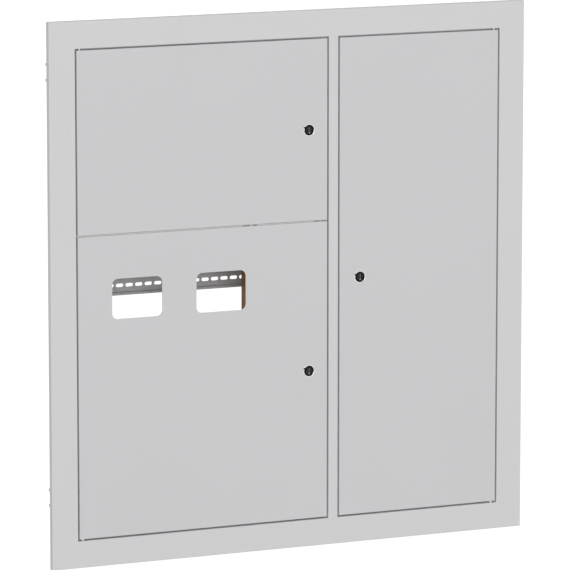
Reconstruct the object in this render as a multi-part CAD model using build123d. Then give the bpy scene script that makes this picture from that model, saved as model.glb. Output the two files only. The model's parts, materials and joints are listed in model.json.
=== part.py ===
from build123d import *
import os

# Flush floor distribution board for two flats.
# Millimetres, X to the right, Z up, Y into the wall, front face towards -Y.
# The origin is the centre of the four wall fixing holes, on the plane that meets the wall.

# Overall size
board_width = 950.0
board_height = 1000.0
board_depth = 140.0

# Trim frame
frame_sheet = 1.2
rim_depth = 12.0
bend_radius = 1.5
side_border = 50.5
end_border = 50.0
mullion_width = 19.0
left_opening_width = 500.0
rebate_depth = 15.5
ledge_width = 6.5

# Doors
door_sheet = 1.2
door_return = 12.0
door_lip = 10.0
door_gap = 3.0
upper_section_height = 340.0
fin_gap = 0.4

# Door hinges
hinge_inset = 10.3
hinge_depth = 6.0
pin_radius = 2.0
pin_head_radius = 4.0
pin_head_thickness = 2.0
pin_collar_radius = 3.4
pin_reach = 3.0
running_clearance = 0.05
middle_pin_reach = 5.5

# Meter windows in the lower left door
window_width = 98.0
window_height = 73.8
window_corner = 11.0
window_level = -8.25
left_window_inset = 118.0
right_window_inset = 283.7

# Locks
lock_head_radius = 9.5
lock_head_proud = 2.5
lock_head_bevel = 1.0
lock_body_radius = 8.0
lock_flats = 13.5
lock_hole_clearance = 0.15
lock_nut_across_flats = 24.0
lock_nut_thickness = 5.0
lock_end_clearance = 0.2
lock_tab_width = 3.2
lock_tab_height = 3.0
lock_tab_angle = -66.0
lock_core_radius = 6.0
lock_core_sunk = 0.5
lock_square = 7.0
lock_square_clearance = 0.05
key_slot_width = 2.4
key_slot_height = 8.5
key_slot_depth = 6.0
cam_gap = 1.0
cam_thickness = 2.0
cam_reach = 45.0
cam_width = 18.0
cam_screw_radius = 2.0
cam_screw_head = 4.5
cam_screw_length = 9.0
left_lock_inset = 40.6
right_lock_inset = 43.7
upper_lock_rise = -0.3
lower_lock_rise = 1.3
right_lock_rise = 0.5

# Body behind the frame
body_sheet = 1.2
rear_flange = 25.0
partition_flange = 20.0
butt_gap = 0.2

# Wall fixing
fixing_side_inset = 13.0
fixing_end_inset = 43.5
fixing_hole_radius = 4.5
anchor_inset = 49.5
anchor_height = 34.0
anchor_prong = 5.0
anchor_sheet = 2.0
anchor_bend_radius = 4.0
anchor_flat = 20.0
anchor_prong_depth = 21.0
anchor_rear_gap = 15.0
anchor_splay = 7.0

# Cable entries
entry_depth = 75.0
entry_size = 70.0
entry_corner = 6.0
riser_entry_width = 64.0
riser_entry_inset = 37.5
signal_entry_width = 160.0
grommet_hole_radius = 14.0
grommet_flange = 4.0
grommet_lip = 2.0
grommet_rear_gap = 36.0
lower_grommet_offset = 45.0
upper_grommet_offset = 60.0

# Shelf between the two left compartments
shelf_sheet = 1.5
shelf_front = 0.8
shelf_depth = 50.0
shelf_flange = 12.0
shelf_tab = 14.0
fin_side_clearance = 0.3
fin_notch_depth = 6.0
pivot_notch_depth = 2.6
pivot_notch_start = 1.5
pivot_notch_length = 13.6
middle_notch_start = 327.9
middle_notch_length = 13.1
small_notch_start = 347.7
small_notch_length = 7.9
inner_notch_inset = 30.5
inner_notch_length = 10.8
outer_notch_inset = 14.8
outer_notch_length = 13.3

# Insulating partition of the meter compartment
insulation_inset = 375.0
insulation_thickness = 3.0
insulation_front = 14.0
insulation_margin = 3.0
insulation_corner = 6.0
insulation_rear_gap = 1.0
angle_leg = 18.0
angle_sheet = 1.5
angle_front = 22.0
angle_length = 26.0
angle_screw_rise = 10.8
angle_screw_spacing = 14.0
m4_radius = 2.0
m4_head_radius = 4.0
m4_head_thickness = 2.4
m4_nut_across_flats = 7.0
m4_nut_thickness = 3.2
m4_thread_end = 1.0

# Mounting rails, 35 mm top hat profile
rail_height = 35.0
rail_profile_depth = 7.5
rail_sheet = 1.0
rail_web = 27.0
rail_bend = 1.0
rail_pitch = 19.0
rail_slots = 21
rail_slot_length = 14.6
rail_slot_height = 6.4
rail_centre_inset = 229.1
upright_pitches = 9
meter_rail_level = -5.6
service_rail_rise = 153.5
lower_breaker_rail_rise = 95.0
upper_breaker_rail_rise = 245.0

# Uprights behind the rails
upright_width = 30.0
upright_sheet = 1.5
upright_depth = 13.3
m5_radius = 2.5
m5_head_radius = 4.6
m5_head_thickness = 3.0
m5_length = 10.0

# Cover in front of the breakers
cover_depth = 58.0
cover_sheet = 1.2
cover_margin = 6.0
cover_top_gap = 13.0
cover_bottom_gap = 17.0
cover_return = 10.0
cover_slot_width = 315.0
cover_slot_height = 46.0
cover_slot_corner = 1.0
cover_screw_inset = 14.0
cover_screw_rise = 28.0
cover_bracket_width = 24.0
cover_bracket_depth = 22.0
cover_bracket_sheet = 1.5
cover_bracket_end_gap = 5.0

# Neutral and earth bars
bar_strip_rise = 58.5
bar_strip_height = 60.0
bar_strip_sheet = 2.0
bar_length = 220.0
bar_height = 12.0
bar_thickness = 8.0
bar_offset = 17.0
bar_standoff = 22.0
insulator_radius = 9.0
insulator_waist_radius = 6.8
insulator_waist_length = 6.0
insulator_end_inset = 20.0
bar_screw_pitch = 16.0
bar_screws_per_bar = 10
bar_screw_head = 3.6
bar_screw_head_thickness = 3.0
bar_hole_radius = 2.6
bar_hole_depth = 4.8

# Equipment strips of the low current compartment
strip_height = 30.0
strip_sheet = 1.5
strip_rear_gap = 16.0
strip_tab = 20.0
strip_level_step = 225.0
strip_slot_length = 18.0
strip_slot_height = 6.0
strip_slot_pitch = 50.0
strip_slot_count = 6

# Buffers and earth studs
buffer_radius = 3.0
buffer_end_distance = 60.0
earth_stud_radius = 3.0
earth_stud_length = 16.0
earth_nut_across_flats = 10.0
earth_nut_thickness = 5.0
earth_washer_radius = 6.0
earth_washer_thickness = 1.2
earth_stud_inset = 60.0
earth_stud_rise = 40.0
body_stud_rear_gap = 45.0
body_stud_rise = 23.5
body_stud_length = 22.0

# How far cutters pass the faces they cut, and how exactly edges are picked
overrun = 1.0
pick_tolerance = 0.01

# Places worked out from the sizes above
half_width = board_width / 2
half_height = board_height / 2
opening_left = -half_width + side_border
opening_right = half_width - side_border
opening_top = half_height - end_border
mullion_left = opening_left + left_opening_width
mullion_right = mullion_left + mullion_width
ledge_back = rebate_depth + frame_sheet
body_half_width = opening_right - ledge_width
body_half_height = opening_top - ledge_width
inner_half_width = body_half_width - body_sheet
inner_half_height = body_half_height - body_sheet
rear_inside = board_depth - body_sheet
bend_start = rear_inside - bend_radius
partition_centre = (mullion_left + mullion_right) / 2
partition_left = partition_centre - body_sheet / 2
partition_right = partition_centre + body_sheet / 2
lock_cam_front = ledge_back + body_sheet + cam_gap
lock_body_end = lock_cam_front - lock_end_clearance
section_line = opening_top - upper_section_height
shelf_top = section_line + shelf_sheet / 2
shelf_bottom = section_line - shelf_sheet / 2
hole_x = body_half_width - fixing_side_inset
hole_z = body_half_height - fixing_end_inset
window_centres = (opening_left + left_window_inset, opening_left + right_window_inset)
insulation_left_face = opening_left + insulation_inset

# Rails, from the rear flange forwards
rail_back = rear_inside - upright_depth
rail_front = rail_back - rail_profile_depth
rail_centre = opening_left + rail_centre_inset
left_upright_x = rail_centre - upright_pitches * rail_pitch
middle_upright_x = rail_centre + upright_pitches * rail_pitch
service_rail_level = -body_half_height + service_rail_rise
lower_breaker_rail_level = section_line + lower_breaker_rail_rise
upper_breaker_rail_level = section_line + upper_breaker_rail_rise
bar_strip_level = -body_half_height + bar_strip_rise
cover_bottom_level = section_line + cover_bottom_gap
cover_top_level = opening_top - cover_top_gap

# Anchors, grommets, equipment strips and the main earth stud
anchor_level = body_half_height - anchor_inset
anchor_tip_depth = board_depth - anchor_rear_gap
anchor_bend = anchor_tip_depth - anchor_prong_depth
anchor_front = anchor_bend - anchor_flat
strip_depth = board_depth - strip_rear_gap
strip_levels = (-strip_level_step, 0, strip_level_step)
grommet_depth = board_depth - grommet_rear_gap
lower_grommet_level = -strip_level_step - lower_grommet_offset
upper_grommet_level = strip_level_step + upper_grommet_offset
grommet_levels = (lower_grommet_level, upper_grommet_level)
body_stud_depth = board_depth - body_stud_rear_gap
body_stud_level = -body_half_height + body_stud_rise


def back(depth):
    """Y of a place that lies this far behind the front face."""
    return depth - board_depth


def block(x0, x1, d0, d1, z0, z1):
    """Box between two X, two depths behind the front face and two Z."""
    size = Box(x1 - x0, d1 - d0, z1 - z0)
    return Pos((x0 + x1) / 2, back((d0 + d1) / 2), (z0 + z1) / 2) * size


def rod_y(x, z, radius, d0, d1):
    """Round bar along Y between two depths."""
    return Pos(x, back((d0 + d1) / 2), z) * Rot(90, 0, 0) * Cylinder(radius, d1 - d0)


def rod_z(x, depth, radius, z0, z1):
    """Round bar along Z at one depth."""
    return Pos(x, back(depth), (z0 + z1) / 2) * Cylinder(radius, z1 - z0)


def rod_x(depth, z, radius, x0, x1):
    """Round bar along X at one depth."""
    return Pos((x0 + x1) / 2, back(depth), z) * Rot(0, 90, 0) * Cylinder(radius, x1 - x0)


def hexagon_y(x, z, across_flats, d0, d1):
    """Hexagon prism along Y between two depths."""
    outline = RegularPolygon(across_flats / 2, 6, major_radius=False)
    return Pos(x, back(d1), z) * Rot(90, 0, 0) * extrude(outline, d1 - d0)


def window_y(x, z, width, height, corner, d0, d1):
    """Rounded rectangle cutter along Y between two depths."""
    outline = RectangleRounded(width, height, corner)
    return Pos(x, back(d1), z) * Rot(90, 0, 0) * extrude(outline, d1 - d0)


def entry_z(x, width, z0, z1):
    """Rounded rectangle cutter along Z for a cable entry."""
    outline = RectangleRounded(width, entry_size, entry_corner)
    return Pos(x, back(entry_depth), z0) * extrude(outline, z1 - z0)


def folded_upright(points, sheet, bend, z0, z1):
    """Folded sheet along Z, from the middle line of its section as X and depth pairs."""
    line = FilletPolyline(*[(x, back(depth)) for x, depth in points], radius=bend)
    return Pos(0, 0, z0) * extrude(trace(line, sheet), z1 - z0)


def folded_lying(points, sheet, bend, x0, x1):
    """Folded sheet along X, from the middle line of its section as depth and Z pairs."""
    line = FilletPolyline(*[(back(depth), z) for depth, z in points], radius=bend)
    section = Plane(origin=(x0, 0, 0), x_dir=(0, 1, 0), z_dir=(1, 0, 0)) * trace(line, sheet)
    return extrude(section, x1 - x0)


def front_edges(part, depth):
    """Edges that lie in the plane at one depth behind the front face."""
    low = back(depth) - pick_tolerance
    return part.edges().filter_by_position(Axis.Y, low, low + 2 * pick_tolerance)


def save(name, shape):
    """Write one node."""
    export_step(shape, os.path.join("parts", name + ".step"))


def group(solids):
    """Separate solids of one node."""
    return Compound(children=list(solids))


def pan_head_y(x, z, radius, head_radius, head_thickness, seat, length):
    """Pan head screw along Y whose head sits on the face at depth seat."""
    head = rod_y(x, z, head_radius, seat - head_thickness, seat)
    return head + rod_y(x, z, radius, seat, seat + length)


def make_frame():
    """Trim frame folded from one sheet, with a rebate round each opening."""
    outside = block(-half_width, half_width, 0, rim_depth, -half_height, half_height)
    hollow = block(
        -half_width + frame_sheet,
        half_width - frame_sheet,
        frame_sheet,
        rim_depth,
        -half_height + frame_sheet,
        half_height - frame_sheet,
    )
    frame = outside - hollow
    openings = ((opening_left, mullion_left), (mullion_right, opening_right))
    for x0, x1 in openings:
        frame += block(
            x0 - frame_sheet,
            x1 + frame_sheet,
            frame_sheet,
            ledge_back,
            -opening_top - frame_sheet,
            opening_top + frame_sheet,
        )
    for x0, x1 in openings:
        frame -= block(x0, x1, 0, rebate_depth, -opening_top, opening_top)
        frame -= block(
            x0 + ledge_width,
            x1 - ledge_width,
            rebate_depth,
            ledge_back,
            -body_half_height,
            body_half_height,
        )
    frame = fillet(front_edges(frame, 0), bend_radius)
    hinge_places = (opening_left + hinge_inset, opening_right - hinge_inset)
    for x in hinge_places:
        for z in (opening_top, -opening_top - frame_sheet):
            frame -= rod_z(x, hinge_depth, pin_radius + running_clearance, z, z + frame_sheet)
    return frame


def make_side_wall(side):
    """Side wall with a front flange behind the frame and a drilled rear flange."""
    web = side * (body_half_width - body_sheet / 2)
    points = (
        (side * (opening_right + frame_sheet), ledge_back + body_sheet / 2),
        (web, ledge_back + body_sheet / 2),
        (web, board_depth - body_sheet / 2),
        (side * (body_half_width - rear_flange), board_depth - body_sheet / 2),
    )
    wall = folded_upright(points, body_sheet, bend_radius, -body_half_height, body_half_height)
    low = web - body_sheet
    high = web + body_sheet
    for z in (-hole_z, hole_z):
        wall -= rod_y(
            side * hole_x, z, fixing_hole_radius, rear_inside - overrun, board_depth + overrun
        )
    for level in grommet_levels:
        wall -= rod_x(grommet_depth, level, grommet_hole_radius, low, high)
    return wall


def make_end_wall(end):
    """Top or bottom wall between the side walls, with two cable entries."""
    web = end * (body_half_height - body_sheet / 2)
    points = (
        (ledge_back + body_sheet / 2, end * (opening_top + frame_sheet)),
        (ledge_back + body_sheet / 2, web),
        (board_depth - body_sheet / 2, web),
        (board_depth - body_sheet / 2, end * (body_half_height - rear_flange)),
    )
    wall = folded_lying(points, body_sheet, bend_radius, -inner_half_width, inner_half_width)
    flange_clear = body_half_width - rear_flange - butt_gap
    for x0, x1 in ((-body_half_width, -flange_clear), (flange_clear, body_half_width)):
        wall -= block(x0, x1, bend_start, board_depth + overrun, -half_height, half_height)
    entries = (
        (mullion_left - riser_entry_inset, riser_entry_width),
        ((partition_right + inner_half_width) / 2, signal_entry_width),
    )
    for x, width in entries:
        wall -= entry_z(x, width, web - body_sheet, web + body_sheet)
    return wall


def make_centre_partition():
    """Wall between the power and the low current compartment."""
    points = (
        (mullion_right + ledge_width, ledge_back + body_sheet / 2),
        (partition_centre, ledge_back + body_sheet / 2),
        (partition_centre, board_depth - body_sheet / 2),
        (partition_centre + partition_flange, board_depth - body_sheet / 2),
    )
    wall = folded_upright(points, body_sheet, bend_radius, -inner_half_height, inner_half_height)
    flange_clear = body_half_height - rear_flange - butt_gap
    for z0, z1 in ((-half_height, -flange_clear), (flange_clear, half_height)):
        wall -= block(0, half_width, bend_start, board_depth + overrun, z0, z1)
    return wall


def fin_notches():
    """Left end, length and depth of each notch in the front edge of the shelf."""
    return (
        (opening_left + pivot_notch_start, pivot_notch_length, pivot_notch_depth),
        (opening_left + middle_notch_start, middle_notch_length, fin_notch_depth),
        (opening_left + small_notch_start, small_notch_length, fin_notch_depth),
        (mullion_left - inner_notch_inset, inner_notch_length, fin_notch_depth),
        (mullion_left - outer_notch_inset, outer_notch_length, fin_notch_depth),
    )


def make_shelf():
    """Shelf between the left compartments, whose front edge is the fin between the doors."""
    seat_right = mullion_left - ledge_width - fin_side_clearance
    tip_end = rebate_depth - fin_side_clearance
    throat_end = ledge_back + fin_side_clearance
    fin_left = opening_left + fin_side_clearance
    fin_right = mullion_left - fin_side_clearance
    fin = block(fin_left, fin_right, shelf_front, tip_end, shelf_bottom, shelf_top)
    throat = block(
        -inner_half_width, seat_right, tip_end, throat_end, shelf_bottom, shelf_top
    )
    shelf_end = shelf_depth - shelf_sheet
    table = block(
        -inner_half_width, partition_left, throat_end, shelf_depth, shelf_bottom, shelf_top
    )
    rear = block(
        -inner_half_width,
        partition_left,
        shelf_end,
        shelf_depth,
        shelf_bottom,
        shelf_top + shelf_flange,
    )
    shelf = table + rear
    crease = shelf.edges().filter_by(Axis.X)
    crease = crease.filter_by_position(
        Axis.Z, shelf_bottom - pick_tolerance, shelf_bottom + pick_tolerance
    )
    shelf = fillet(crease.sort_by(Axis.Y)[-1], bend_radius)
    for x0 in (-inner_half_width, partition_left - shelf_sheet):
        tab_start = throat_end + bend_radius
        tab_end = shelf_end - bend_radius
        shelf += block(
            x0, x0 + shelf_sheet, tab_start, tab_end, shelf_bottom - shelf_tab, shelf_bottom
        )
    shelf += fin + throat
    for x0, length, depth in fin_notches():
        shelf -= block(x0, x0 + length, shelf_front, shelf_front + depth, shelf_bottom, shelf_top)
    shelf -= rod_z(opening_left + hinge_inset, hinge_depth, pin_radius, shelf_bottom, shelf_top)
    return shelf


def make_rail(level, perforated):
    """Top hat rail with its lips to the front, perforated or with two screw holes."""
    lip = rail_front + rail_sheet / 2
    web = rail_back - rail_sheet / 2
    edge = rail_height / 2
    leg = (rail_web - rail_sheet) / 2
    points = (
        (lip, level - edge),
        (lip, level - leg),
        (web, level - leg),
        (web, level + leg),
        (lip, level + leg),
        (lip, level + edge),
    )
    length = rail_slots * rail_pitch
    x0 = rail_centre - length / 2
    rail = folded_lying(points, rail_sheet, rail_bend, x0, x0 + length)
    if not perforated:
        for x in (left_upright_x, middle_upright_x):
            rail -= rod_y(
                x, level, m5_radius, rail_back - 2 * rail_sheet, rail_back + overrun
            )
        return rail
    outline = SlotOverall(rail_slot_length, rail_slot_height)
    cutter = Rot(90, 0, 0) * extrude(outline, rail_sheet + 2 * overrun)
    slots = []
    for i in range(rail_slots):
        x = x0 + rail_pitch * (i + 0.5)
        slots.append(Pos(x, back(rail_back + overrun), level) * cutter)
    return rail - slots


def make_upright(x):
    """Channel upright with a pressed thread behind each rail."""
    half = (upright_width - upright_sheet) / 2
    face = rail_back + upright_sheet / 2
    points = ((x - half, rear_inside), (x - half, face), (x + half, face), (x + half, rear_inside))
    end = inner_half_height - bend_radius
    upright = folded_upright(points, upright_sheet, bend_radius, -end, end)
    levels = (
        meter_rail_level,
        service_rail_level,
        lower_breaker_rail_level,
        upper_breaker_rail_level,
        bar_strip_level,
    )
    for level in levels:
        upright -= rod_y(
            x, level, m5_radius, rail_back - overrun, rail_back + upright_sheet + overrun
        )
    return upright


def make_insulating_partition():
    """Laminate plate between the meters and the riser."""
    z0 = -inner_half_height + insulation_margin
    z1 = shelf_bottom - insulation_margin
    plate = block(
        insulation_left_face,
        insulation_left_face + insulation_thickness,
        insulation_front,
        rail_front - insulation_rear_gap,
        z0,
        z1,
    )
    plate = fillet(plate.edges().filter_by(Axis.X), insulation_corner)
    for depth, z in angle_screw_places():
        plate -= rod_x(
            depth,
            z,
            m4_radius,
            insulation_left_face - overrun,
            insulation_left_face + insulation_thickness + overrun,
        )
    return plate


def angle_screw_places():
    """Depth and Z of the four screws that hold the laminate plate."""
    middle = angle_front + angle_length / 2
    half = angle_screw_spacing / 2
    levels = (-inner_half_height + angle_screw_rise, shelf_bottom - angle_screw_rise)
    return [(middle + offset, z) for z in levels for offset in (-half, half)]


def make_partition_angles():
    """Two small angles that carry the laminate plate."""
    x0 = insulation_left_face + insulation_thickness + angle_sheet / 2
    bottom = -inner_half_height + angle_sheet / 2
    top = shelf_bottom - angle_sheet / 2
    angles = []
    for seat, tip in ((bottom, bottom + angle_leg), (top, top - angle_leg)):
        line = FilletPolyline((x0, tip), (x0, seat), (x0 + angle_leg, seat), radius=bend_radius)
        section = Plane.XZ.offset(-back(angle_front + angle_length)) * trace(line, angle_sheet)
        angle = extrude(section, angle_length)
        for depth, z in angle_screw_places():
            angle -= rod_x(depth, z, m4_radius, x0 - angle_sheet, x0 + angle_sheet)
        angles.append(angle)
    return angles


def make_partition_screws():
    """Screws with nuts through the laminate plate and its angles."""
    head_seat = insulation_left_face
    nut_seat = insulation_left_face + insulation_thickness + angle_sheet
    shank_end = nut_seat + m4_nut_thickness + m4_thread_end
    screws = []
    for depth, z in angle_screw_places():
        head = rod_x(depth, z, m4_head_radius, head_seat - m4_head_thickness, head_seat)
        shank = rod_x(depth, z, m4_radius, head_seat, shank_end)
        outline = RegularPolygon(m4_nut_across_flats / 2, 6, major_radius=False)
        nut = Pos(nut_seat, back(depth), z) * Rot(0, 90, 0) * extrude(outline, m4_nut_thickness)
        screws.append(head + shank + nut)
    return screws


def make_cover():
    """Cover of the breaker compartment with two rows of module openings."""
    x0 = -inner_half_width + cover_margin
    x1 = partition_left - cover_margin
    mid = cover_depth + cover_sheet / 2
    points = (
        (cover_depth + cover_return, cover_bottom_level + cover_sheet / 2),
        (mid, cover_bottom_level + cover_sheet / 2),
        (mid, cover_top_level - cover_sheet / 2),
        (cover_depth + cover_return, cover_top_level - cover_sheet / 2),
    )
    cover = folded_lying(points, cover_sheet, bend_radius, x0, x1)
    for level in (lower_breaker_rail_level, upper_breaker_rail_level):
        cover -= window_y(
            rail_centre,
            level,
            cover_slot_width,
            cover_slot_height,
            cover_slot_corner,
            cover_depth - overrun,
            cover_depth + cover_sheet + overrun,
        )
    cover_end = cover_depth + cover_sheet + overrun
    for x, z in cover_screw_places():
        cover -= rod_y(x, z, m5_radius, cover_depth - overrun, cover_end)
    return cover


def cover_screw_places():
    """X and Z of the four cover screws."""
    xs = (-inner_half_width + cover_screw_inset, partition_left - cover_screw_inset)
    zs = (cover_bottom_level + cover_screw_rise, cover_top_level - cover_screw_rise)
    return [(x, z) for x in xs for z in zs]


def make_cover_brackets():
    """Two upright angles that carry the cover."""
    face = cover_depth + cover_sheet + cover_bracket_sheet / 2
    z0 = cover_bottom_level + cover_return + cover_bracket_end_gap
    z1 = cover_top_level - cover_return - cover_bracket_end_gap
    brackets = []
    for wall, inward in ((-inner_half_width, 1), (partition_left, -1)):
        leg = wall + inward * cover_bracket_sheet / 2
        points = (
            (leg, face + cover_bracket_depth),
            (leg, face),
            (leg + inward * cover_bracket_width, face),
        )
        bracket = folded_upright(points, cover_bracket_sheet, bend_radius, z0, z1)
        for x, z in cover_screw_places():
            bracket -= rod_y(
                x, z, m5_radius, face - cover_bracket_sheet, face + cover_bracket_sheet
            )
        brackets.append(bracket)
    return brackets


def make_bar_strip():
    """Steel strip across the uprights that carries the two bars."""
    x0 = left_upright_x - upright_width / 2
    x1 = middle_upright_x + upright_width / 2
    strip = block(
        x0,
        x1,
        rail_back - bar_strip_sheet,
        rail_back,
        bar_strip_level - bar_strip_height / 2,
        bar_strip_level + bar_strip_height / 2,
    )
    for x in (left_upright_x, middle_upright_x):
        strip -= rod_y(
            x, bar_strip_level, m5_radius, rail_back - 2 * bar_strip_sheet, rail_back + overrun
        )
    return strip


def bar_face():
    """Depth of the front face of both bars."""
    return rail_back - bar_strip_sheet - bar_standoff - bar_thickness


def bar_screw_places():
    """X of the clamp screws of one bar."""
    first = rail_centre - bar_screw_pitch * (bar_screws_per_bar - 1) / 2
    return [first + bar_screw_pitch * i for i in range(bar_screws_per_bar)]


def make_bar(level):
    """Brass terminal bar with a cross hole under each clamp screw."""
    face = bar_face()
    bar = block(
        rail_centre - bar_length / 2,
        rail_centre + bar_length / 2,
        face,
        face + bar_thickness,
        level - bar_height / 2,
        level + bar_height / 2,
    )
    low = level - bar_height
    high = level + bar_height
    holes = []
    for x in bar_screw_places():
        holes.append(rod_z(x, face + bar_hole_depth, bar_hole_radius, low, high))
    return bar - holes


def make_bar_screws(level):
    """Clamp screw heads of one bar, proud of its front."""
    face = bar_face()
    screws = []
    for x in bar_screw_places():
        screws.append(rod_y(x, level, bar_screw_head, face - bar_screw_head_thickness, face))
    return screws


def make_insulators(level):
    """Two standoffs behind one bar."""
    top = bar_face() + bar_thickness
    seat = rail_back - bar_strip_sheet
    posts = []
    reach = bar_length / 2 - insulator_end_inset
    for x in (rail_centre - reach, rail_centre + reach):
        middle = (top + seat) / 2
        half = insulator_waist_length / 2
        waist = rod_y(x, level, insulator_waist_radius, top, seat)
        collars = rod_y(x, level, insulator_radius, top, middle - half)
        collars += rod_y(x, level, insulator_radius, middle + half, seat)
        posts.append(waist + collars)
    return posts


def make_strip(level):
    """Perforated strip across the low current compartment, with welded end tabs."""
    left = partition_right + strip_sheet / 2
    right = inner_half_width - strip_sheet / 2
    face = strip_depth + strip_sheet / 2
    points = ((left, face - strip_tab), (left, face), (right, face), (right, face - strip_tab))
    strip = folded_upright(
        points, strip_sheet, bend_radius, level - strip_height / 2, level + strip_height / 2
    )
    outline = SlotOverall(strip_slot_length, strip_slot_height)
    cutter = Rot(90, 0, 0) * extrude(outline, strip_sheet + 2 * overrun)
    cutter_end = strip_depth + strip_sheet + overrun
    middle = (left + right) / 2
    slots = []
    for i in range(strip_slot_count):
        x = middle + strip_slot_pitch * (i - (strip_slot_count - 1) / 2)
        slots.append(Pos(x, back(cutter_end), level) * cutter)
    return strip - slots


def make_wall_anchor(side, level):
    """Forked strap welded to a side wall, whose prongs splay into the mortar."""
    face = side * (body_half_width + anchor_sheet / 2)
    tip = face + side * anchor_splay
    points = ((face, anchor_front), (face, anchor_bend), (tip, anchor_tip_depth))
    z0 = level - anchor_height / 2
    strap = folded_upright(points, anchor_sheet, anchor_bend_radius, z0, z0 + anchor_height)
    notch = block(
        min(face, tip) - anchor_sheet * 2,
        max(face, tip) + anchor_sheet * 2,
        anchor_bend - anchor_sheet,
        anchor_tip_depth + anchor_sheet * 2,
        z0 + anchor_prong,
        z0 + anchor_height - anchor_prong,
    )
    return strap - notch


def make_grommet(side, level):
    """Blind rubber grommet, turned about the axis of its hole."""
    outer = grommet_hole_radius + grommet_flange
    wall = body_sheet / 2
    outline = Polyline(
        (0, -wall - grommet_lip),
        (outer, -wall - grommet_lip),
        (outer, -wall),
        (grommet_hole_radius, -wall),
        (grommet_hole_radius, wall),
        (outer, wall),
        (outer, wall + grommet_lip),
        (0, wall + grommet_lip),
        close=True,
    )
    turned = revolve(make_face(outline), Axis.Y)
    x = side * (body_half_width - body_sheet / 2)
    return Pos(x, back(grommet_depth), level) * Rot(0, 0, 90) * turned


def make_buffer(x, z):
    """Rubber buffer between the rebate ledge and a closed door."""
    return rod_y(x, z, buffer_radius, door_return, rebate_depth)


def make_hinge_pin(x, end, flange_z):
    """Pin fixed in a door flange that turns in the frame, end +1 up or -1 down."""
    inside = flange_z - end * door_sheet
    seat = end * opening_top
    tip = seat + end * (frame_sheet + pin_reach)
    head_end = inside - end * pin_head_thickness
    pin = rod_z(x, hinge_depth, pin_radius, min(inside, tip), max(inside, tip))
    pin += rod_z(
        x, hinge_depth, pin_head_radius, min(inside, head_end), max(inside, head_end)
    )
    if end < 0:
        pin += rod_z(x, hinge_depth, pin_collar_radius, seat + running_clearance, flange_z)
    return pin


def make_door(x0, x1, z0, z1, lock_x, lock_z):
    """Folded door: a flat face with returns and inward lips."""
    shell = block(x0, x1, 0, door_return, z0, z1)
    shell -= block(
        x0 + door_sheet,
        x1 - door_sheet,
        door_sheet,
        door_return - door_sheet,
        z0 + door_sheet,
        z1 - door_sheet,
    )
    shell -= block(
        x0 + door_lip,
        x1 - door_lip,
        door_return - door_sheet,
        door_return,
        z0 + door_lip,
        z1 - door_lip,
    )
    shell = fillet(front_edges(shell, 0), bend_radius)
    end = door_sheet + overrun
    hole = rod_y(lock_x, lock_z, lock_body_radius + lock_hole_clearance, -overrun, end)
    flats = lock_flats / 2 + lock_hole_clearance
    hole &= block(
        lock_x - flats,
        lock_x + flats,
        -overrun,
        end,
        lock_z - lock_head_radius,
        lock_z + lock_head_radius,
    )
    return shell - hole


def make_lock_housing(x, z):
    """Black lock housing: bevelled head, flatted threaded body and a bore."""
    head = rod_y(x, z, lock_head_radius, -lock_head_proud, 0)
    head = chamfer(front_edges(head, -lock_head_proud), lock_head_bevel)
    body = rod_y(x, z, lock_body_radius, 0, lock_body_end)
    body &= block(
        x - lock_flats / 2,
        x + lock_flats / 2,
        0,
        lock_body_end,
        z - lock_head_radius,
        z + lock_head_radius,
    )
    lug = Pos(x, 0, z) * Rot(0, lock_tab_angle, 0)
    lug *= Pos(0, back(-lock_head_proud / 2), lock_head_radius)
    lug *= Box(lock_tab_width, lock_head_proud, lock_tab_height)
    bore = rod_y(
        x, z, lock_core_radius + running_clearance, -lock_head_proud, lock_body_end
    )
    return head + lug + body - bore


def make_lock_nut(x, z):
    """Hexagon nut that clamps the lock in the door."""
    nut = hexagon_y(x, z, lock_nut_across_flats, door_sheet, door_sheet + lock_nut_thickness)
    return nut - rod_y(x, z, lock_body_radius, 0, door_sheet + lock_nut_thickness + overrun)


def make_lock_core(x, z):
    """Turning core with a key slot in front and a square for the cam behind."""
    front = -lock_head_proud + lock_core_sunk
    core = rod_y(x, z, lock_core_radius, front, lock_cam_front)
    square = lock_square / 2
    square_end = lock_cam_front + cam_thickness
    core += block(x - square, x + square, lock_cam_front, square_end, z - square, z + square)
    core -= block(
        x - key_slot_width / 2,
        x + key_slot_width / 2,
        front,
        front + key_slot_depth,
        z - key_slot_height / 2,
        z + key_slot_height / 2,
    )
    return core - rod_y(x, z, cam_screw_radius, square_end - cam_screw_length, square_end)


def make_lock_cam(x, z):
    """Flat cam that hangs down while the lock is open."""
    length = cam_reach + cam_width / 2
    plate = extrude(Rot(0, 0, 90) * SlotOverall(length, cam_width), cam_thickness)
    middle = z + (cam_width / 2 - cam_reach) / 2
    cam = Pos(x, back(lock_cam_front + cam_thickness), middle) * Rot(90, 0, 0) * plate
    half = lock_square / 2 + lock_square_clearance
    return cam - block(
        x - half,
        x + half,
        lock_cam_front - overrun,
        lock_cam_front + cam_thickness + overrun,
        z - half,
        z + half,
    )


def make_cam_screw(x, z):
    """Screw and its head behind the cam."""
    seat = lock_cam_front + cam_thickness
    shank = rod_y(x, z, cam_screw_radius, seat - cam_screw_length, seat)
    return shank + rod_y(x, z, cam_screw_head, seat, seat + m5_head_thickness)


def make_earth_stud(x, z, seat):
    """Threaded stud with washer and nut on the inner face of a door."""
    stud = rod_y(x, z, earth_stud_radius, seat, seat + earth_stud_length)
    washer_end = seat + earth_washer_thickness
    stud += rod_y(x, z, earth_washer_radius, seat, washer_end)
    return stud + hexagon_y(
        x, z, earth_nut_across_flats, washer_end, washer_end + earth_nut_thickness
    )


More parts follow.
